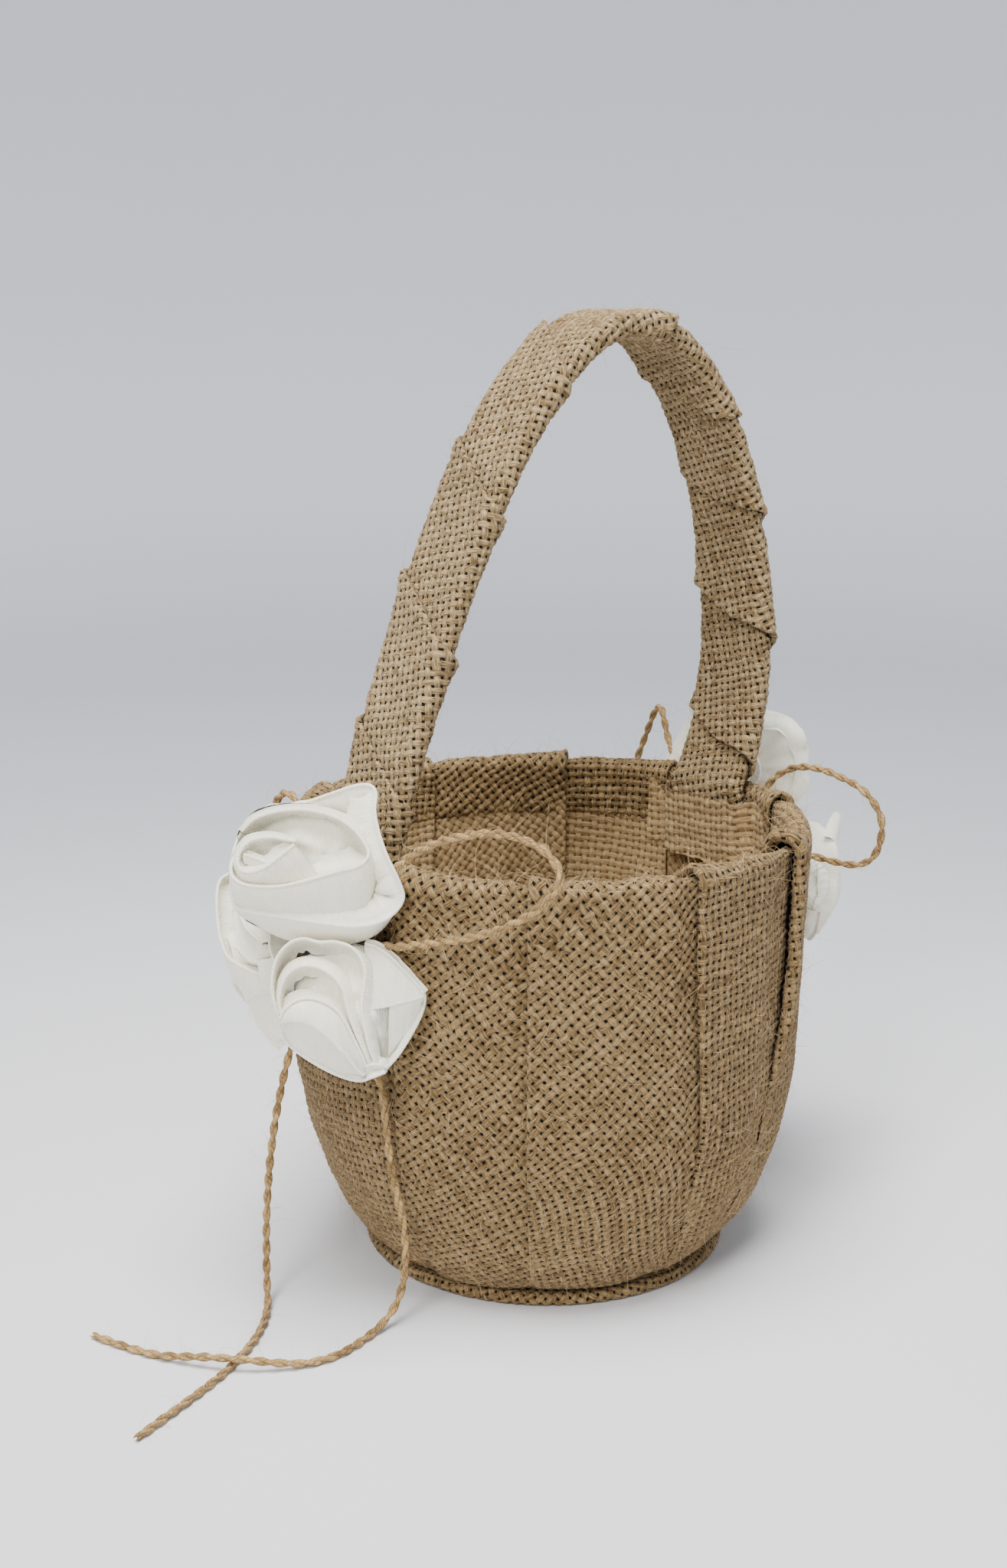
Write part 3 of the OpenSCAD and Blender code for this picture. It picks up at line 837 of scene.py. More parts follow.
RIGHT_LOOP_BACK = [
    [-73.6, -0.5, 107.2], [-73.4, 3, 108.6], [-72.6, 6.5, 113], [-72.8, 10, 118.5],
    [-73.6, 14.5, 123.2], [-74.4, 21, 126.4], [-75, 29, 127.2], [-75, 37, 126.4],
    [-75, 44, 124.8], [-75, 49, 121.8], [-75, 52.2, 117.4], [-75, 52, 111],
    [-75, 49, 105.6], [-74.6, 43.5, 102.8], [-72.8, 36, 102.6], [-70.2, 29, 103.6],
    [-69.6, 21.5, 104.4], [-71.8, 13.5, 104.8], [-73.2, 6, 104.5], [-73.6, -0.5, 104.2],
]
LEFT_TAIL_LONG = [
    [-73.6, -5.6, 102.2], [-73.2, -5.6, 97.5], [-71.7, -5.8, 91], [-71.2, -6.8, 85],
    [-70.9, -10, 78.5], [-70, -15.2, 72], [-68.8, -19.6, 64], [-68.4, -20.7, 54],
    [-67.8, -21.8, 44], [-66.8, -23.6, 34], [-66, -25, 25], [-66, -25, 16.5],
    [-67, -24, 9], [-69.8, -23.2, 3.8], [-75, -24, 1.3], [-82, -26.4, 1.1],
    [-89.5, -28, 1.1], [-97, -27.2, 1.3], [-103.5, -24.4, 2.2], [-109, -20.9, 3.2],
    [-113.6, -16.6, 3.5], [-118, -11, 3], [-121.8, -5.2, 1.9], [-125.4, 1, 1.2],
    [-129, 9.5, 1.1], [-132.4, 19, 1.1],
]
LEFT_TAIL_SHORT = [
    [-73.6, -2.4, 102.2], [-73.8, -1.8, 97], [-74.6, 0.4, 89.5], [-76.2, 3.6, 81],
    [-78.2, 6.4, 71.5], [-80.6, 8.2, 60], [-82.6, 9.4, 48], [-84, 10.2, 36],
    [-84.8, 10.6, 24], [-85.2, 10.6, 14], [-86.2, 9, 6.4], [-88.6, 5, 2],
    [-92.6, -0.4, 1.1], [-98, -6, 1.1], [-105, -11.6, 1.1], [-113.4, -17, 1.1],
    [-121, -20.8, 1.1], [-129, -24.3, 1.1], [-139, -28.4, 1.1], [-148, -32, 1.1],
]
RIGHT_TAIL_LONG = [
    [-73.6, -5.6, 102.2], [-73.2, -5.6, 97.5], [-71.7, -5.8, 91], [-71.2, -6.8, 85],
    [-71.2, -9.8, 78], [-71, -14.2, 70], [-71, -17.6, 60], [-72, -19, 48],
    [-73.2, -20, 36], [-74.2, -20.8, 24], [-75, -21.6, 13.5], [-76.6, -23, 5.6],
    [-80, -26.5, 1.6], [-84, -32, 1.1], [-86, -39.5, 1.1], [-85.4, -48, 1.1],
    [-81.6, -56, 1.1], [-75, -62.4, 1.1], [-67, -66.4, 1.1], [-58, -68.4, 1.1],
]
RIGHT_TAIL_SHORT = [
    [-73.6, -2.4, 102.2], [-73.8, -1.8, 97], [-74.6, 0, 89.5], [-76.2, 1.6, 81],
    [-78, 2.2, 71.5], [-80, 2, 60], [-81.8, 1.2, 48], [-83, 0, 36],
    [-83.8, -1.4, 24], [-84.6, -3, 14], [-86, -5.4, 6.2], [-88.8, -9.6, 1.9],
    [-92, -15.6, 1.1], [-94.6, -23, 1.1], [-96, -31, 1.1], [-95.8, -39.5, 1.1],
    [-93.6, -48, 1.1], [-89.6, -56, 1.1],
]
KNOT_AT = np.array([-73.6, -4.0, 105.7])
LAY_OF_TWINE = 9.6           # length of one full turn of the plies
PLY_R = TWINE_D * 0.285      # one ply's radius
PLY_OFF = 0.46               # from the twine's middle to the middle of a ply


def on_side(side, points):
    """Points drawn for the left side, turned half round the axis for the right."""
    return points * ([1, 1, 1] if side == "left" else [-1, -1, 1])


def curve_through(points, step):
    """An even line on a smooth curve through points."""
    p = np.array(points, float)
    p = np.concatenate([[2 * p[0] - p[1]], p, [2 * p[-1] - p[-2]]])
    t = np.linspace(0, 1, 13)[:-1, None]
    pieces = []
    for a, b, c, d in zip(p, p[1:], p[2:], p[3:]):
        pieces.append(0.5 * (2 * b + (c - a) * t + (2 * a - 5 * b + 4 * c - d) * t ** 2
                             + (3 * b - a - 3 * c + d) * t ** 3))
    pieces.append(p[-2:-1])
    return resample(np.concatenate(pieces), step)


def frames_along(line):
    """Headings and two directions across, carried along a line without twist."""
    heading = np.gradient(line, axis=0)
    heading /= np.linalg.norm(heading, axis=1)[:, None]
    first = np.cross(heading[0], [0.9, 0.3, 0.2])
    ups = [first / np.linalg.norm(first)]
    for h in heading[1:]:
        up = ups[-1] - h * (h @ ups[-1])
        ups.append(up / np.linalg.norm(up))
    up = np.array(ups)
    return heading, up, np.cross(heading, up)


def add_twine(cloth, line, along, seed, closed_end=True):
    """Two plies twisted round each other along a line; a closed end is drawn in to a tip."""
    _, up, side = frames_along(line)
    around = full_turn(9)[None, :]
    for ply in range(2):
        turn = along * 2 * np.pi / LAY_OF_TWINE + ply * np.pi + seed
        swell = 1 + 0.08 * ripple(seed + ply, 9, along) + 0.03 * ripple(seed + 5, 2.5, along)
        ends = np.minimum(along[-1] - along, 1.5) / 1.5 if closed_end else 1
        radius = PLY_R * swell * np.maximum(ends, 0.12)
        centre = line + (up * np.cos(turn)[:, None] + side * np.sin(turn)[:, None]) * PLY_OFF
        ring = (up[:, None] * np.cos(around)[..., None]
                + side[:, None] * np.sin(around)[..., None])
        points = centre[:, None] + ring * radius[:, None, None]
        u = (around + turn[:, None]) / (2 * np.pi)
        uv = np.stack([u, along[:, None] + 0 * u + 40 * ply + 7 * seed], -1)
        cloth.add(points, uv, ring=True, flip=True)


def twine_cord(name, side, route, far_end, seed):
    """A loop or a tail along its route."""
    line, along = curve_through(on_side(side, np.array(route, float)), LINE_STEP)
    cloth = Cloth()
    add_twine(cloth, line, along, seed, closed_end=far_end == "bare")
    piece = cloth.make(name + "_twine", "twine", name)
    "loose" if far_end == "bare" else "hanging"
    return line


def bow_knot(side):
    """The knot: two strands that cross in it, and two that are wound round them."""
    cloth = Cloth()
    wraps = [
        [(0, -3.4, 1.4), (1.2, -1.6, 1.9), (1.9, 0.4, 0.9), (1.2, 2.2, -0.6), (0, 3.4, -1.4)],
        [(0, -3.4, -1.5), (-1.0, -1.4, -1.9), (-1.6, 0.2, -0.6), (-1.2, 2.0, 1.0), (0, 3.4, 1.5)],
        [(1.2, 0.9, 3.3), (-1.2, 1.6, 3.2), (-2.9, 1.2, 1.2), (-2.9, 0.4, -1.4),
         (-1.2, -0.4, -3.3), (1.4, -0.6, -3.2), (2.8, -0.2, -1.0), (2.8, 0.4, 1.4)],
        [(1.0, -1.2, 3.0), (-1.0, -1.0, 3.2), (-2.7, -1.3, 1.2), (-2.7, -1.8, -1.2),
         (-1.0, -1.8, -3.1), (0, -1.6, -3.6)],
    ]
    for k, wrap in enumerate(wraps):
        line, along = curve_through(on_side(side, KNOT_AT + np.array(wrap)), 0.4)
        add_twine(cloth, line, along, 30 + k)
    return cloth.make(f"{side}_bow_knot_twine", "twine", f"{side}_bow_knot")


def bows():
    """Both bows. The lines of all their cords are returned, for the loose fibres."""
    routes = [
        ("left", "loop_front", LEFT_LOOP_FRONT), ("left", "loop_back", LEFT_LOOP_BACK),
        ("right", "loop_front", RIGHT_LOOP_FRONT), ("right", "loop_back", RIGHT_LOOP_BACK),
        ("left", "tail_long", LEFT_TAIL_LONG), ("left", "tail_short", LEFT_TAIL_SHORT),
        ("right", "tail_long", RIGHT_TAIL_LONG), ("right", "tail_short", RIGHT_TAIL_SHORT),
    ]
    knots = {side: bow_knot(side) for side in ("left", "right")}
    lines = []
    for k, (side, part, route) in enumerate(routes):
        far_end = "bare" if part.startswith("tail") else "object"
        lines.append(twine_cord(f"{side}_bow_{part}", side, route, far_end, k + 1))
    return lines


# ---- Satin roses ----

# Centre of each rose, and the azimuth and elevation that it faces
ROSES = {
    "top": ((-81.5, -9.5, 123.5), (-147, 15)),
    "low": ((-79.5, -21.0, 89.5), (-139, -12)),
    "side": ((-79.5, 17.5, 92.0), (159, -6)),
}
HEART = {"top": (2.2, 6.0), "low": (3.6, 5.6), "side": (5.6, 8.6)}    # crown and fall
HEART_FROM = {"top": "front", "low": "front", "side": "left"}
ROSE_MID = 8.0               # from a rose's back to its centre
ROSE_BACK = -6.6             # where its gathered back lies
RIBBON_HALF = 0.42           # half the thickness of a folded edge
FELT_R, FELT_T = 8.0, 1.5
# The azimuth and elevation that the petals below are drawn from; HEART_FROM has the one
# that a rose's heart and back are made for
DRAWN_FROM = {"front": (-128.2, 14.0), "left": (165.0, -4.0)}

# A petal is one fold of the ribbon: where it is drawn from, how far its inner side runs
# in and falls, how far its outer side bulges, and then the points of its edge, each with
# the point where the outer side ends. An inner side that falls to a set depth, not by a
# set amount, has that depth below zero, and is round instead of steep. Points are to the
# right, up and towards the viewer from the rose's centre. Where the outer side ends at
# the rose's back, the last number is left out and is BEHIND.
BEHIND = -6.8
PETALS = {
    "top": [
        ("front", 2.2, 3.4, 0.5, [
            (-3.5, 4.9, 8.6, -2.8, 5.6, 6.0), (-9.2, 5.8, 7.4, -9.4, 7.2, 4.6),
            (-14.4, 5.0, 6.8, -15.4, 6.4, 4.2), (-17.0, 2.4, 6.6, -18.6, 2.8, 3.8),
            (-17.5, -0.8, 7.0, -19.0, -1.6, 4.2), (-15.4, -2.6, 7.8, -15.8, -5.2, 5.4),
            (-11.2, -1.6, 8.8, -9.8, -5.6, 6.0), (-7.2, 1.2, 9.4, -4.4, -4.8, 6.2),
            (-3.6, 4.2, 9.4, 2.2, -3.4, 5.8),
        ]),
        ("front", 0.8, 1.0, 0.2, [
            (-16.4, 1.6, 5.6, -16.2, -0.6, 5.0), (-13.4, 0.8, 6.2, -12.8, -1.6, 5.2),
            (-10.2, -0.4, 6.4, -9.6, -2.2, 5.4),
        ]),
        ("front", 4.2, 6.5, 0.9, [
            (-17.4, 3.0, 4.4, -18.8, 3.6, 0.6), (-19.2, -0.4, 5.4, -20.2, -3.2, 1.2),
            (-18.8, -3.8, 6.5, -18.6, -10.6, 1.8), (-15.4, -5.7, 7.2, -14.6, -12.4, 2.2),
            (-8.6, -6.1, 7.7, -8.0, -14.0, 2.4), (-2.0, -4.9, 8.0, -1.4, -15.2, 2.4),
            (6.2, -2.5, 8.4, 7.8, -15.8, 2.2), (11.4, -1.1, 8.5, 12.4, -13.6, 2.0),
            (13.8, 1.0, 8.0, 14.6, -8.6, 1.8), (13.5, 3.6, 7.0, 16.0, -1.0, 1.2),
            (10.4, 7.6, 5.6, 12.4, 8.2, 0.6), (5.6, 10.7, 4.8, 6.6, 12.0, 0.4),
            (-1.5, 12.4, 4.2, -1.6, 13.8, 0.0), (-8.4, 12.0, 3.6, -9.0, 13.4, -0.6),
            (-13.8, 10.2, 2.8, -15.2, 11.2, -1.2), (-17.2, 7.0, 1.6, -18.6, 7.4, -1.8),
        ]),
        ("front", 6.6, -3.0, 0.7, [
            (-19.0, -7.4, 0.8, -20.0, -7.2, -4.4), (-19.0, -11.0, 2.2, -18.8, -12.8, -2.6),
            (-15.3, -12.4, 3.6, -14.2, -15.8, -1.6), (-8.4, -13.4, 4.2, -7.8, -19.0, -1.0),
            (-2.0, -14.4, 4.6, -1.6, -20.3, -1.0), (4.0, -15.2, 5.0, 4.2, -20.8, -1.0),
            (9.6, -15.7, 5.4, 10.2, -20.2, -1.0), (15.0, -15.1, 5.8, 15.6, -18.0, -1.2),
            (19.6, -12.8, 6.2, 19.4, -13.6, -3.5), (22.3, -8.8, 6.6, 20.4, -8.4),
            (21.0, -4.0, 6.8, 18.0, -3.8), (18.4, 1.2, 6.4, 15.6, 1.2),
            (16.4, 6.6, 5.2, 13.8, 6.4), (15.2, 12.0, 3.6, 13.0, 11.4),
            (15.4, 16.4, 2.4, 13.0, 15.0), (13.8, 18.4, 1.4, 11.4, 16.0),
            (10.0, 18.2, 0.4, 8.0, 15.8), (4.0, 16.2, -0.6, 3.4, 14.0),
            (-2.0, 14.2, -1.2, -1.8, 12.4), (-7.0, 13.5, -1.8, -6.0, 11.6),
            (-11.2, 13.2, -2.2, -9.4, 11.2), (-13.4, 10.8, -2.8, -12.0, 9.0),
            (-17.0, 7.6, -3.2, -14.2, 6.6),
        ]),
        ("front", 1.2, 0.6, 0.5, [
            (-16.8, 8.6, -2.6, -12.8, 6.8), (-19.3, 3.0, -1.4, -14.8, 2.4),
            (-19.9, -3.0, -0.6, -15.4, -2.6), (-19.8, -9.0, 0.2, -14.6, -7.4),
            (-17.4, -13.4, -0.2, -12.0, -10.6),
        ]),
    ],
    "low": [
        ("front", 3.0, 4.6, 0.5, [
            (-12.6, -10.6, -0.6, -11.6, -10.0, -5.5), (-15.0, -7.0, 0.4, -14.0, -7.0, -5.0),
            (-17.4, -1.2, 2.2, -16.2, -1.4, -5.8), (-18.4, 4.9, 3.2, -17.0, 4.4, -6.4),
            (-17.2, 11.0, 3.9, -15.6, 9.8), (-14.2, 14.8, 4.4, -12.6, 13.0),
            (-10.6, 16.1, 4.8, -9.4, 14.0), (-6.8, 15.3, 5.0, -6.4, 13.4),
            (-3.0, 15.4, 5.2, -3.0, 13.4, -6.0), (0.9, 14.2, 5.4, 2.6, 13.0, -3.5),
            (3.4, 11.5, 5.5, 6.0, 11.0, -1.0), (4.4, 7.8, 5.5, 6.8, 7.6, 0.8),
            (4.0, 3.4, 5.5, 6.6, 3.2, 1.4), (3.6, -1.2, 5.3, 6.4, -1.4, 1.6),
            (4.4, -5.8, 4.9, 7.0, -6.0, 1.4), (5.5, -10.5, 4.1, 7.6, -10.8, 0.8),
            (6.9, -14.4, 3.0, 8.4, -14.8, 0.0),
        ]),
        ("front", 2.4, 3.8, 0.4, [
            (-16.2, -2.4, 3.0, -17.0, -2.4, 0.5), (-16.5, 1.4, 4.0, -17.6, 1.8, 1.0),
            (-15.4, 5.8, 5.0, -16.8, 6.6, 1.6), (-12.8, 8.8, 5.7, -14.0, 10.4, 2.0),
            (-9.4, 9.7, 6.1, -9.8, 11.8, 2.4), (-5.9, 8.9, 6.4, -5.6, 11.2, 2.6),
            (-2.9, 6.8, 6.6, -1.6, 8.8, 2.8), (-0.7, 3.7, 6.7, 1.0, 4.8, 3.0),
            (0.1, 0.2, 6.6, 2.0, 0.4, 3.0), (1.3, -3.9, 6.3, 3.2, -3.8, 2.8),
            (2.8, -7.8, 5.7, 4.4, -7.8, 2.4), (4.6, -12.0, 4.8, 5.8, -12.2, 1.8),
            (5.8, -15.4, 3.6, 6.8, -15.6, 1.0),
        ]),
        ("front", 1.6, 4.2, 0.5, [
            (-16.3, -3.6, 4.4, -16.3, -4.8, 4.9), (-14.8, -0.8, 5.8, -14.5, -4.1, 6.7),
            (-12.2, 1.2, 6.6, -12.1, -3.6, 7.9), (-9.0, 1.9, 7.0, -8.6, -4.4, 8.7),
            (-5.2, 0.9, 7.1, -4.8, -7.0, 8.9), (-2.1, -1.2, 6.9, -1.6, -10.4, 8.5),
            (0.0, -4.4, 6.5, 0.6, -13.2, 7.5), (1.8, -8.2, 5.8, 2.3, -15.4, 6.2),
            (3.6, -12.0, 5.0, 3.4, -16.7, 5.1), (4.6, -14.8, 4.2, 4.0, -17.3, 4.3),
        ]),
        ("front", 0.5, 0.8, -0.9, [
            (-16.2, -4.4, 4.6, -16.4, -6.6, 0.0), (-14.4, -3.7, 6.3, -15.0, -9.2, 0.8),
            (-12.0, -3.2, 7.5, -13.0, -11.2, 1.4), (-8.4, -4.0, 8.3, -9.6, -13.2, 1.8),
            (-4.6, -6.6, 8.5, -6.2, -14.8, 2.0), (-1.4, -10.0, 8.1, -2.8, -16.8, 2.0),
            (0.8, -12.8, 7.1, 0.4, -17.9, 1.6), (2.6, -15.6, 5.7, 2.6, -18.4, 1.0),
            (4.2, -17.0, 4.3, 5.2, -18.0, 0.4),
        ]),
        ("front", 0.8, 0.3, 0.4, [
            (-15.4, -2.6, -0.4, -11.8, -2.2), (-16.4, -6.8, 0.4, -12.6, -6.0),
            (-14.8, -9.6, 1.2, -11.6, -8.4), (-9.4, -13.5, 2.0, -7.4, -11.4),
            (-3.0, -16.9, 2.2, -2.2, -13.6), (2.6, -18.5, 2.4, 2.2, -14.4),
            (6.2, -17.4, 3.6, 5.2, -13.8), (9.2, -16.4, 2.4, 7.4, -13.0),
        ]),
        ("front", 1.6, 1.4, 0.3, [
            (4.2, -14.9, 4.2, 3.2, -18.2, 2.2), (6.2, -14.5, 3.9, 5.8, -18.2, 1.2),
            (8.2, -14.9, 2.8, 8.2, -17.4, 0.0), (9.6, -15.6, 1.4, 9.6, -16.8, -1.4),
        ]),
        ("front", 0.8, 1.2, 0.4, [
            (4.0, 14.6, 0.8, 5.8, -1.2, 2.8), (6.4, 14.1, 1.4, 8.0, -0.8, 3.7),
            (9.4, 12.4, 2.0, 10.4, -0.3, 4.3), (13.0, 9.0, 2.6, 13.2, 0.5, 4.7),
            (16.8, 5.0, 2.8, 16.4, 1.3, 4.3), (18.6, 2.8, 2.7, 18.5, 1.9, 3.6),
        ]),
        ("front", 1.4, 0.5, 0.5, [
            (10.1, -0.2, 3.9, 9.7, -15.8, -1.8), (12.6, 0.6, 4.3, 12.6, -12.2, -1.6),
            (15.6, 1.3, 4.2, 15.6, -6.8, -1.0), (18.6, 2.1, 3.2, 18.2, 0.2, 0.2),
        ]),
        ("front", 1.0, 0.5, 0.2, [
            (6.2, -1.0, 2.2, 7.2, -15.8, -2.2), (7.8, -0.6, 2.2, 8.4, -16.2, -3.0),
            (11.4, 0.0, 1.2, 11.2, -14.6, -4.4),
        ]),
        ("front", 0.8, 0.3, 0.4, [
            (8.6, 12.6, 1.4, 6.6, 9.6), (13.2, 8.8, 1.9, 10.4, 6.8), (17.2, 4.5, 2.1, 13.2, 3.6),
            (18.7, 2.0, 2.3, 14.2, 1.0), (17.9, -2.2, 1.1, 13.8, -2.2),
            (15.5, -7.2, 0.6, 12.0, -6.4), (12.4, -12.2, 0.4, 9.4, -9.8),
            (9.0, -16.2, 0.0, 6.8, -12.6),
        ]),
    ],
    "side": [
        ("left", 2.4, 4.0, 0.4, [
            (-6.4, 0.2, 6.6, -7.6, -0.6, 3.0), (-6.0, 3.8, 7.6, -7.8, 5.4, 3.2),
            (-2.2, 5.8, 8.4, -3.0, 8.2, 3.6), (2.2, 4.8, 8.8, 3.8, 6.8, 4.0),
            (4.0, 1.4, 8.8, 6.4, 1.6, 4.0), (2.2, -2.2, 8.6, 3.8, -4.6, 4.0),
            (-1.8, -3.0, 8.0, -2.4, -5.8, 3.8), (-4.2, -1.0, 7.0, -4.4, -2.4, 4.4),
            (-3.0, 1.4, 6.0, -3.2, 0.2, 3.6),
        ]),
        ("left", 3.6, 5.0, 0.7, [
            (11.8, 7.0, 3.0, 13.6, 8.0, -0.4), (5.8, 9.8, 5.4, 7.4, 13.0, 0.4),
            (-1.6, 12.4, 5.4, -1.8, 15.4, 1.0), (-8.6, 9.4, 6.4, -10.4, 12.4, 1.2),
            (-10.6, 3.0, 7.4, -14.2, 4.4, 1.4), (-11.8, -4.4, 6.2, -14.6, -5.2, 1.4),
            (-6.0, -8.6, 7.2, -8.0, -12.4, 1.4), (1.4, -11.4, 6.0, 1.6, -14.6, 1.4),
            (7.6, -8.2, 6.6, 9.6, -11.4, 1.0), (12.2, -3.6, 4.8, 14.2, -4.2, 0.4),
            (11.2, 3.0, 4.6, 13.6, 3.4, -0.2),
        ]),
        ("left", 4.4, 4.6, 0.6, [
            (-13.8, -12.6, -0.6, -11.4, -9.6), (-16.0, -5.0, 2.0, -12.6, -3.6),
            (-14.6, 4.2, 3.6, -11.8, 3.8), (-13.6, 12.6, 2.8, -10.4, 10.2),
            (-6.4, 17.0, 1.6, -5.0, 13.0), (3.4, 15.6, 3.0, 2.8, 12.6),
            (12.4, 13.4, 1.2, 9.6, 10.2), (15.2, 6.6, 2.4, 12.2, 5.0),
            (17.2, -1.6, 0.8, 12.8, -1.6), (12.6, -9.4, 2.4, 9.8, -7.4),
            (7.6, -16.0, 0.8, 5.8, -12.0), (-0.6, -15.6, 2.0, -0.6, -12.4),
            (-8.8, -15.8, 0.2, -6.8, -11.8), (-14.6, -11.4, -1.4, -11.4, -9.2),
            (-16.6, -5.4, -2.2, -12.6, -4.4),
        ]),
        ("front", 4.4, 3.6, 0.8, [
            (-8.8, 20.8, 1.4, -5.0, 18.0), (-11.0, 19.0, 2.8, -8.0, 16.6),
            (-11.6, 15.0, 4.2, -9.2, 13.0), (-11.2, 9.0, 5.4, -9.0, 7.0, -5.4),
            (-10.0, 3.4, 6.6, -9.6, -2.6, 0.0), (-7.8, -0.6, 8.0, -5.8, -9.0, 2.4),
            (-3.0, -3.2, 9.6, -2.0, -15.4, 4.0), (1.6, -4.8, 10.8, 2.0, -20.4, 5.4),
            (5.0, -6.4, 11.2, 5.2, -22.6, 6.4),
        ]),
        ("front", 0.6, 1.0, -0.4, [
            (-6.4, 2.4, 7.4, -7.4, 11.6, 4.4), (-2.2, -1.0, 9.4, -3.6, 12.6, 5.4),
            (3.4, -1.4, 10.6, 2.4, 12.8, 6.0), (8.0, -1.2, 10.8, 8.0, 12.4, 5.6),
        ]),
        ("front", 0.8, 0.4, 0.4, [
            (-3.4, -13.8, 3.6, 0.6, -10.6, -3.0), (0.4, -18.4, 4.8, 3.4, -13.6, -2.0),
            (3.8, -22.0, 5.8, 5.6, -16.2, -1.0), (5.6, -22.8, 6.6, 8.4, -17.0, 0.0),
            (6.2, -18.0, 8.4, 9.4, -13.0, 1.0), (6.0, -10.0, 10.4, 9.8, -7.0, 2.0),
        ]),
    ],
}


def facing_axes(azimuth, elevation):
    """Rows: to the right, up and towards someone who looks from a direction."""
    a, e = math.radians(azimuth), math.radians(elevation)
    front = np.array([math.cos(a) * math.cos(e), math.sin(a) * math.cos(e), math.sin(e)])
    right = np.array([-math.sin(a), math.cos(a), 0.0])
    return np.stack([right, np.cross(front, right), front])


def add_turned(cloth, side, centre, facing, local, uv, **how):
    """Adds points that are given to the right, up and towards a viewer, about a centre."""
    placed = np.array(centre) + local @ facing_axes(*facing)
    cloth.add(on_side(side, placed), uv, **how)


def unit(v):
    return v / (np.linalg.norm(v, axis=-1, keepdims=True) + 1e-9)


def petal_lines(petal):
    """The edge of a petal and the end of its outer side, point by point."""
    points = [point if len(point) == 6 else (*point, BEHIND) for point in petal[-1]]
    both, _ = curve_through(points, LINE_STEP)
    return both[:, :3], both[:, 3:]


def add_petal(cloth, petal, centre, side, seed):
    """One fold of ribbon: the inner side, the rounded edge and the outer side."""
    drawn_from, run_in, fall_in, bulge = petal[:4]
    lip, skirt = petal_lines(petal)
    along = np.concatenate([[0], np.cumsum(np.linalg.norm(np.diff(lip, axis=0), axis=1))])
    heading = unit(np.gradient(lip[:, :2], axis=0))
    out = np.stack([heading[:, 1], -heading[:, 0]], 1)
    closing = smooth((-3.0 - skirt[:, 2:]) / 1.5)
    away = (unit((skirt - lip)[:, :2]) * (1 - closing)
            + unit(lip[:, :2] - lip[:, :2].mean(0)) * (0.2 + 1.6 * closing))
    out = out * np.sign((out * away).sum(1))[:, None]
    for _ in range(8):
        out[1:-1] = unit(out[:-2] + 1.5 * out[1:-1] + out[2:])
    out = np.concatenate([out, np.zeros((len(out), 1))], 1)[None]
    front = np.array([0, 0, 1.0])
    s_in = np.linspace(1, 0, 12)[:, None, None]
    s_out = np.linspace(0, 1, 17)[:, None, None]
    arc = np.radians(np.linspace(180, 0, 9))[1:-1, None, None]
    pull = 1 + 0.15 * ripple(seed, 9, along)[None, :, None]
    crease = (0.5 * ripple(seed + 1, 5.0, along)[None, :, None]
              + 0.25 * ripple(seed + 2, 2.6, along)[None, :, None])
    steep = fall_in > 0
    fall = fall_in if steep else (lip[:, 2] - fall_in)[None, :, None]
    turn = s_in * np.pi / 2
    in_share, fall_share = (1 - np.cos(turn), np.sin(turn)) if steep else (
        np.sin(turn), 1 - np.cos(turn))
    inner = (lip - out * (RIBBON_HALF + run_in * pull * in_share) - front * fall * fall_share
             + front * crease * 0.5 * s_in * (1 - s_in) * 4)
    start = lip + out * RIBBON_HALF
    outer = (start + (skirt - start) * s_out
             + front * bulge * np.sin(np.pi * s_out ** 0.8)
             + front * crease * 0.35 * np.sin(np.pi * s_out))
    over = lip + out * RIBBON_HALF * np.cos(arc) + front * RIBBON_HALF * np.sin(arc)
    local = np.concatenate([inner, over, outer])
    wall = np.linalg.norm(skirt - lip, axis=1).mean()
    run = np.concatenate([
        -s_in[:, 0, 0] * (run_in + abs(fall_in)) - 1, np.linspace(-0.8, 0.8, len(arc)),
        s_out[:, 0, 0] * wall + 1,
    ])
    uv = np.stack([along[None, :] + 0 * run[:, None], run[:, None] + 0 * along[None, :]], -1)
    add_turned(cloth, side, centre, DRAWN_FROM[drawn_from], local, uv + 30 * seed)


def add_heart(cloth, which, side):
    """The layers of ribbon deep inside a rose, seen only between its folds."""
    reach = 14.5
    r = np.linspace(PINHOLE, reach, 40)[:, None]
    theta = full_turn(120)[None, :]
    u, v = r * np.cos(theta) * 0.98 - 1.2, r * np.sin(theta) * 1.02
    swirl = np.cos(2 * theta - r * 0.75) * 0.4 * smooth(r / 5)
    crown, fall = HEART[which]
    w = crown - fall * (r / reach) ** 3 + swirl + 0.3 * ripple(900, 6, u, v)
    local, uv = np.stack([u, v, w], -1), np.stack([u, v], -1) + 500
    facing = DRAWN_FROM[HEART_FROM[which]]
    add_turned(cloth, side, ROSES[which][0], facing, local, uv, ring=True)


def outline_of(which, drawn_from, theta):
    """Reach and height of the ends of a rose's outermost folds, at each angle."""
    ends = np.concatenate([
        petal_lines(petal)[1] for petal in PETALS[which] if petal[0] == drawn_from
    ])
    reach, angle = np.hypot(ends[:, 0], ends[:, 1]), np.arctan2(ends[:, 1], ends[:, 0])
    apart = (theta[:, None] - angle[None, :] + np.pi) % (2 * np.pi) - np.pi
    near = np.abs(apart) < 0.1
    seen = near.any(1)
    best = np.argmax(np.where(near, reach[None, :], 0), axis=1)
    return [
        np.interp(theta, theta[seen], values[best[seen]], period=2 * np.pi)
        for values in (reach, ends[:, 2])
    ]


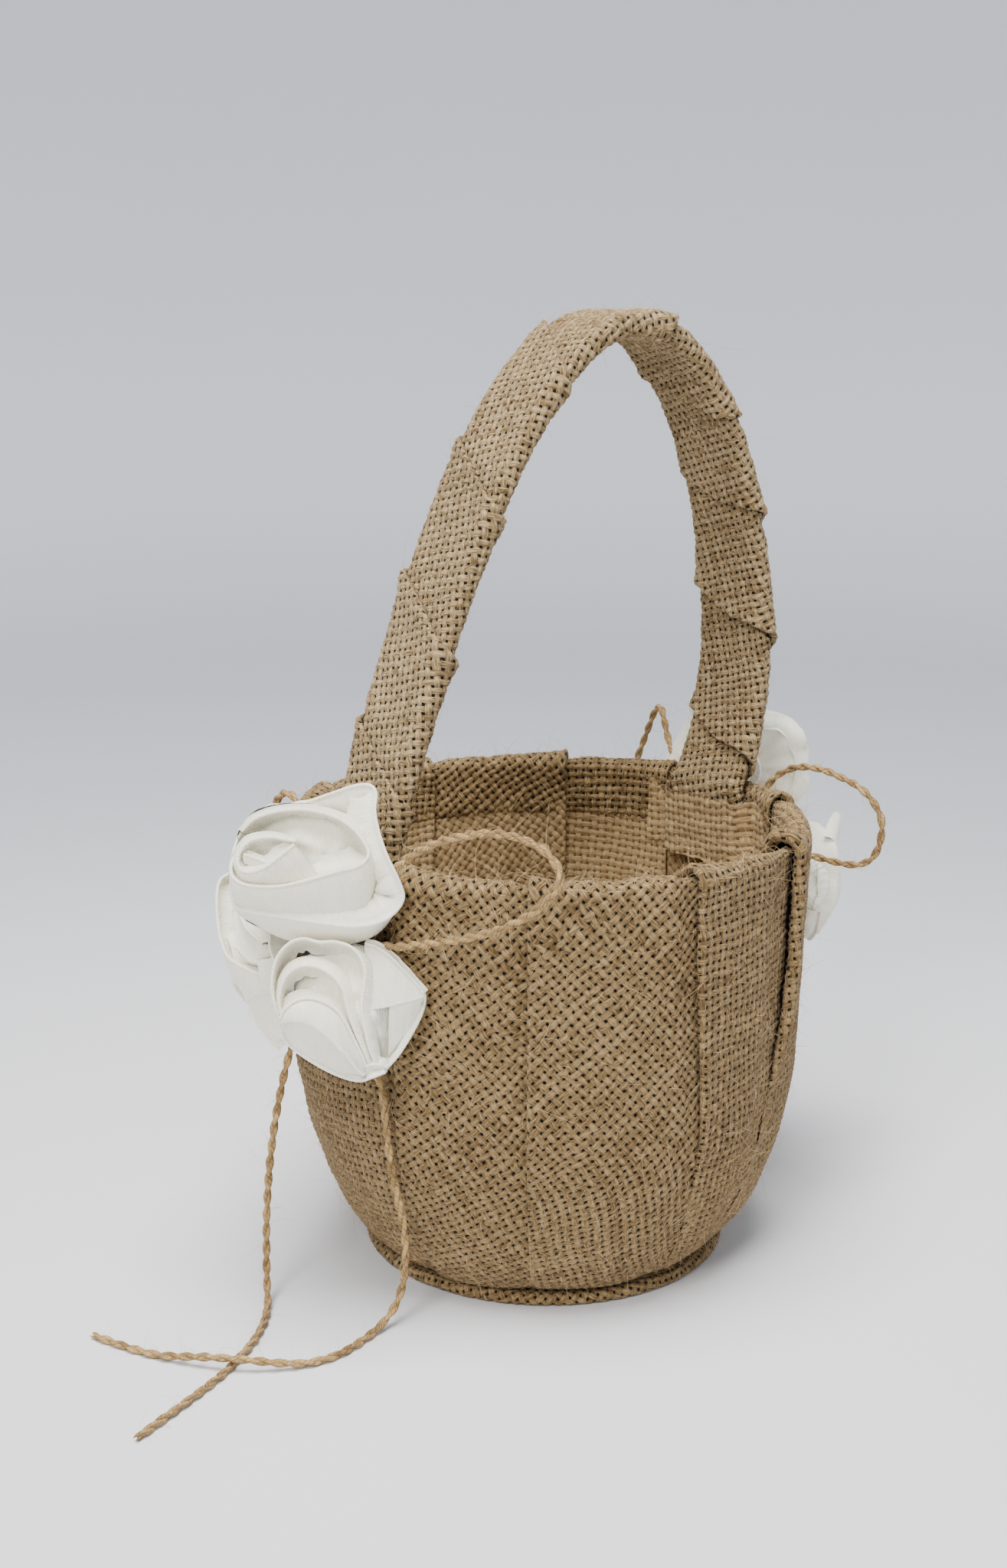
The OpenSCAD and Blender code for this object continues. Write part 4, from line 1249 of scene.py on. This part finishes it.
def add_back(cloth, which, side):
    """The ribbon gathered behind a rose, which closes it from the back."""
    theta = full_turn(120)
    reach, end = outline_of(which, HEART_FROM[which], theta)
    s = np.linspace(0.01, 1, 30)[:, None]
    r = 0.985 * reach * np.sin(s * np.pi / 2)
    pucker = 0.35 * np.sin(theta * 11 + 2 * s) * s * (1 - s) * 4
    w = ROSE_BACK + (np.maximum(end, ROSE_BACK) - ROSE_BACK) * s ** 6 + pucker
    u, v = r * np.cos(theta), r * np.sin(theta)
    local, uv = np.stack([u, v, w], -1), np.stack([u, v], -1) + 700
    facing = DRAWN_FROM[HEART_FROM[which]]
    add_turned(cloth, side, ROSES[which][0], facing, local, uv, ring=True, flip=True)


def rose(side, which):
    """One rose of folded ribbon: its heart, its gathered back and its petals."""
    cloth = Cloth()
    add_heart(cloth, which, side)
    add_back(cloth, which, side)
    for k, petal in enumerate(PETALS[which]):
        add_petal(cloth, petal, ROSES[which][0], side, k + 3)
    piece = cloth.make(f"{side}_rose_{which}_ribbon", "satin", f"{side}_rose_{which}")
    return piece


def felt_disc(side, which, seed):
    """A hand-cut disc of felt at the back of a rose."""
    centre, facing = ROSES[which]
    half = FELT_T / 2
    r = [PINHOLE, 2, 4, 6, FELT_R - 0.4, FELT_R - 0.1, FELT_R]
    z = [half] * 5 + [half - 0.12, half - 0.35]
    theta = full_turn(90)[None, :]
    r, z = np.array(r + r[::-1])[:, None], np.array(z + [-height for height in z[::-1]])[:, None]
    cut = 1 + 0.012 * ripple(seed, 1.1, np.cos(theta) * 3, np.sin(theta) * 3)
    x, y = r * cut * np.cos(theta), r * cut * np.sin(theta)
    fuzz = 0.05 * ripple(seed + 1, 1.6, x, y + 3 * z)
    local = np.stack([x, y, z + fuzz - ROSE_MID - half], -1)
    cloth = Cloth()
    add_turned(cloth, side, centre, facing, local, np.stack([x, y], -1), ring=True)
    piece = cloth.make(f"{side}_felt_disc_{which}", "felt", f"{side}_felt_{which}")
    return piece


# ---- Loose fibres ----

def add_fibres(cloth, roots, normals, random, length, lift, radius=0.05):
    """Curved jute hairs standing off a surface; each is a thin three-sided tube."""
    count = len(roots)
    way = random.normal(size=(count, 3))
    way -= normals * (way * normals).sum(1)[:, None]
    way /= np.linalg.norm(way, axis=1)[:, None] + 1e-9
    bend = random.normal(size=(count, 3)) * 0.45
    long = length * random.lognormal(0, 0.45, (count, 1))
    rise = lift * random.uniform(0.15, 1.0, (count, 1))
    t = np.linspace(0, 1, 6)
    line = np.stack([
        roots + long * (way * x + normals * rise * x * (1.3 - 0.5 * x) + bend * x * x)
        for x in t
    ], 1)
    heading = np.gradient(line, axis=1)
    heading /= np.linalg.norm(heading, axis=2)[..., None] + 1e-9
    up = np.cross(heading, way[:, None] + [0.3, 0.2, 0.1])
    up /= np.linalg.norm(up, axis=2)[..., None] + 1e-9
    side = np.cross(heading, up)
    around = full_turn(3)[None, :, None]
    thin = (radius * (1 - 0.7 * t))[:, None, None]
    for k in range(count):
        ring = (up[k][:, None] * np.cos(around) + side[k][:, None] * np.sin(around)) * thin
        points = line[k][:, None] + ring
        uv = np.zeros((len(t), around.size, 2))
        uv[..., 0] = random.integers(0, 60) + 0.5
        uv[..., 1] = t[:, None] * 0.8 + random.integers(0, 60) + 0.1
        cloth.add(points, uv, ring=True)


def vertex_values(values, key):
    """One vector for each vertex, as rows of an array."""
    flat = np.zeros(len(values) * 3, np.float32)
    values.foreach_get(key, flat)
    return flat.reshape(-1, 3)


def fibres_on(piece, count, name, slot, seed, length, lift, wanted=None):
    """Hairs rooted at random points of a cloth piece."""
    where = vertex_values(piece.data.vertices, "co") / MM
    facing = vertex_values(piece.data.vertex_normals, "vector")
    random = np.random.default_rng(seed)
    chosen = np.arange(len(where)) if wanted is None else np.flatnonzero(wanted(where, facing))
    chosen = random.choice(chosen, count, replace=False)
    cloth = Cloth()
    add_fibres(cloth, where[chosen], facing[chosen], random, length, lift)
    return cloth.make(name, slot, material="fibre")


def twine_fibres(lines):
    """Hairs along the twine; those that would reach into the table stand up instead."""
    random = np.random.default_rng(77)
    cloth = Cloth()
    for line in lines:
        _, up, side = frames_along(line)
        count = int(len(line) * 0.5)
        at = random.integers(4, len(line) - 1, count)
        turn = random.uniform(0, 2 * np.pi, (count, 1))
        normal = up[at] * np.cos(turn) + side[at] * np.sin(turn)
        roots = line[at] + normal * TWINE_D * 0.4
        low = roots[:, 2] + normal[:, 2] * 4 < 1.5
        normal[low, 2] = np.abs(normal[low, 2])
        add_fibres(cloth, roots, normal, random, 3.2, 0.9, 0.045)
    return cloth.make("twine_fibres", "twine", material="fibre")


# ---- CAD nodes that stay ----

slots = {part["node"]: part["material_slot"] for part in frame["record"]["subparts"]}
for name, node in frame["nodes"].items():
    node.data.materials.clear()
    node.data.materials.append(MATERIALS[slots[name]])


# ---- Build ----

cord_lines = bows()
cover = outer_burlap()
lining_burlap()
base_burlap()
strip = handle_strip()
for side in ("left", "right"):
    handle_patch(side)
    for seed, which in enumerate(ROSES):
        rose(side, which)
        felt_disc(side, which, 800 + seed)
fibres_on(cover, 3400, "cover_fibres", "burlap_outer", 5, 3.2, 0.7)
fibres_on(
    cover, 520, "rim_fibres", "burlap_outer", 6, 3.6, 1.0,
    lambda where, facing: (where[:, 2] > RIM_Z - 2) & (facing[:, 2] > 0.2),
)
fibres_on(strip, 2300, "handle_fibres", "burlap_handle", 7, 2.2, 0.8)
twine_fibres(cord_lines)


# ---- Stage and light ----

def stage():
    """A round floor that curves up into a wall all the way round; these are in metres."""
    flat, corner, top, lean, columns = 0.9, 1.5, 2.6, 0.02, 96
    profile = [(0.001, 0.0), (0.3, 0.0), (0.6, 0.0)] + [
        (flat + corner * math.sin(a), corner - corner * math.cos(a))
        for a in np.radians(np.linspace(0, 88, 24))
    ] + [(flat + corner + lean, top)]
    r, z = np.array(profile).T[:, :, None]
    points = revolved(r, full_turn(columns)[None, :], z)
    faces = grid_faces(len(profile), columns, ring=True)
    mesh = bpy.data.meshes.new("backdrop")
    mesh.from_pydata(points.reshape(-1, 3).tolist(), [], faces.tolist())
    mesh.polygons.foreach_set("use_smooth", [True] * len(faces))
    mesh.materials.append(stage_material())
    add_object("backdrop", mesh)


def area_light(name, at, aim, size, power, colour):
    """A round soft light; its place, aim and size are in metres and its power in watts."""
    data = bpy.data.lights.new(name, "AREA")
    data.shape = "DISK"
    data.size = size
    data.energy = power
    data.color = colour
    light = add_object(name, data)
    light.location = at
    light.rotation_mode = "QUATERNION"
    light.rotation_quaternion = (Vector(aim) - Vector(at)).to_track_quat("-Z", "Y")


def world():
    """Faint cool light from all round."""
    made = bpy.data.worlds.new("soft_room")
    made.use_nodes = True
    background = made.node_tree.nodes["Background"]
    background.inputs["Color"].default_value = (0.86, 0.93, 1.0, 1.0)
    background.inputs["Strength"].default_value = 0.33
    bpy.context.scene.world = made


stage()
world()
area_light("key", (-1.0, -0.55, 1.0), (0, 0, 0.1), 0.45, 14, (1.0, 0.98, 0.95))
area_light("fill", (0.7, -1.4, 0.9), (0, 0, 0.1), 1.2, 2.5, (0.96, 0.98, 1.0))
area_light("top", (-0.25, -0.2, 1.45), (-0.08, -0.08, 0.0), 0.9, 42, (1.0, 1.0, 1.0))
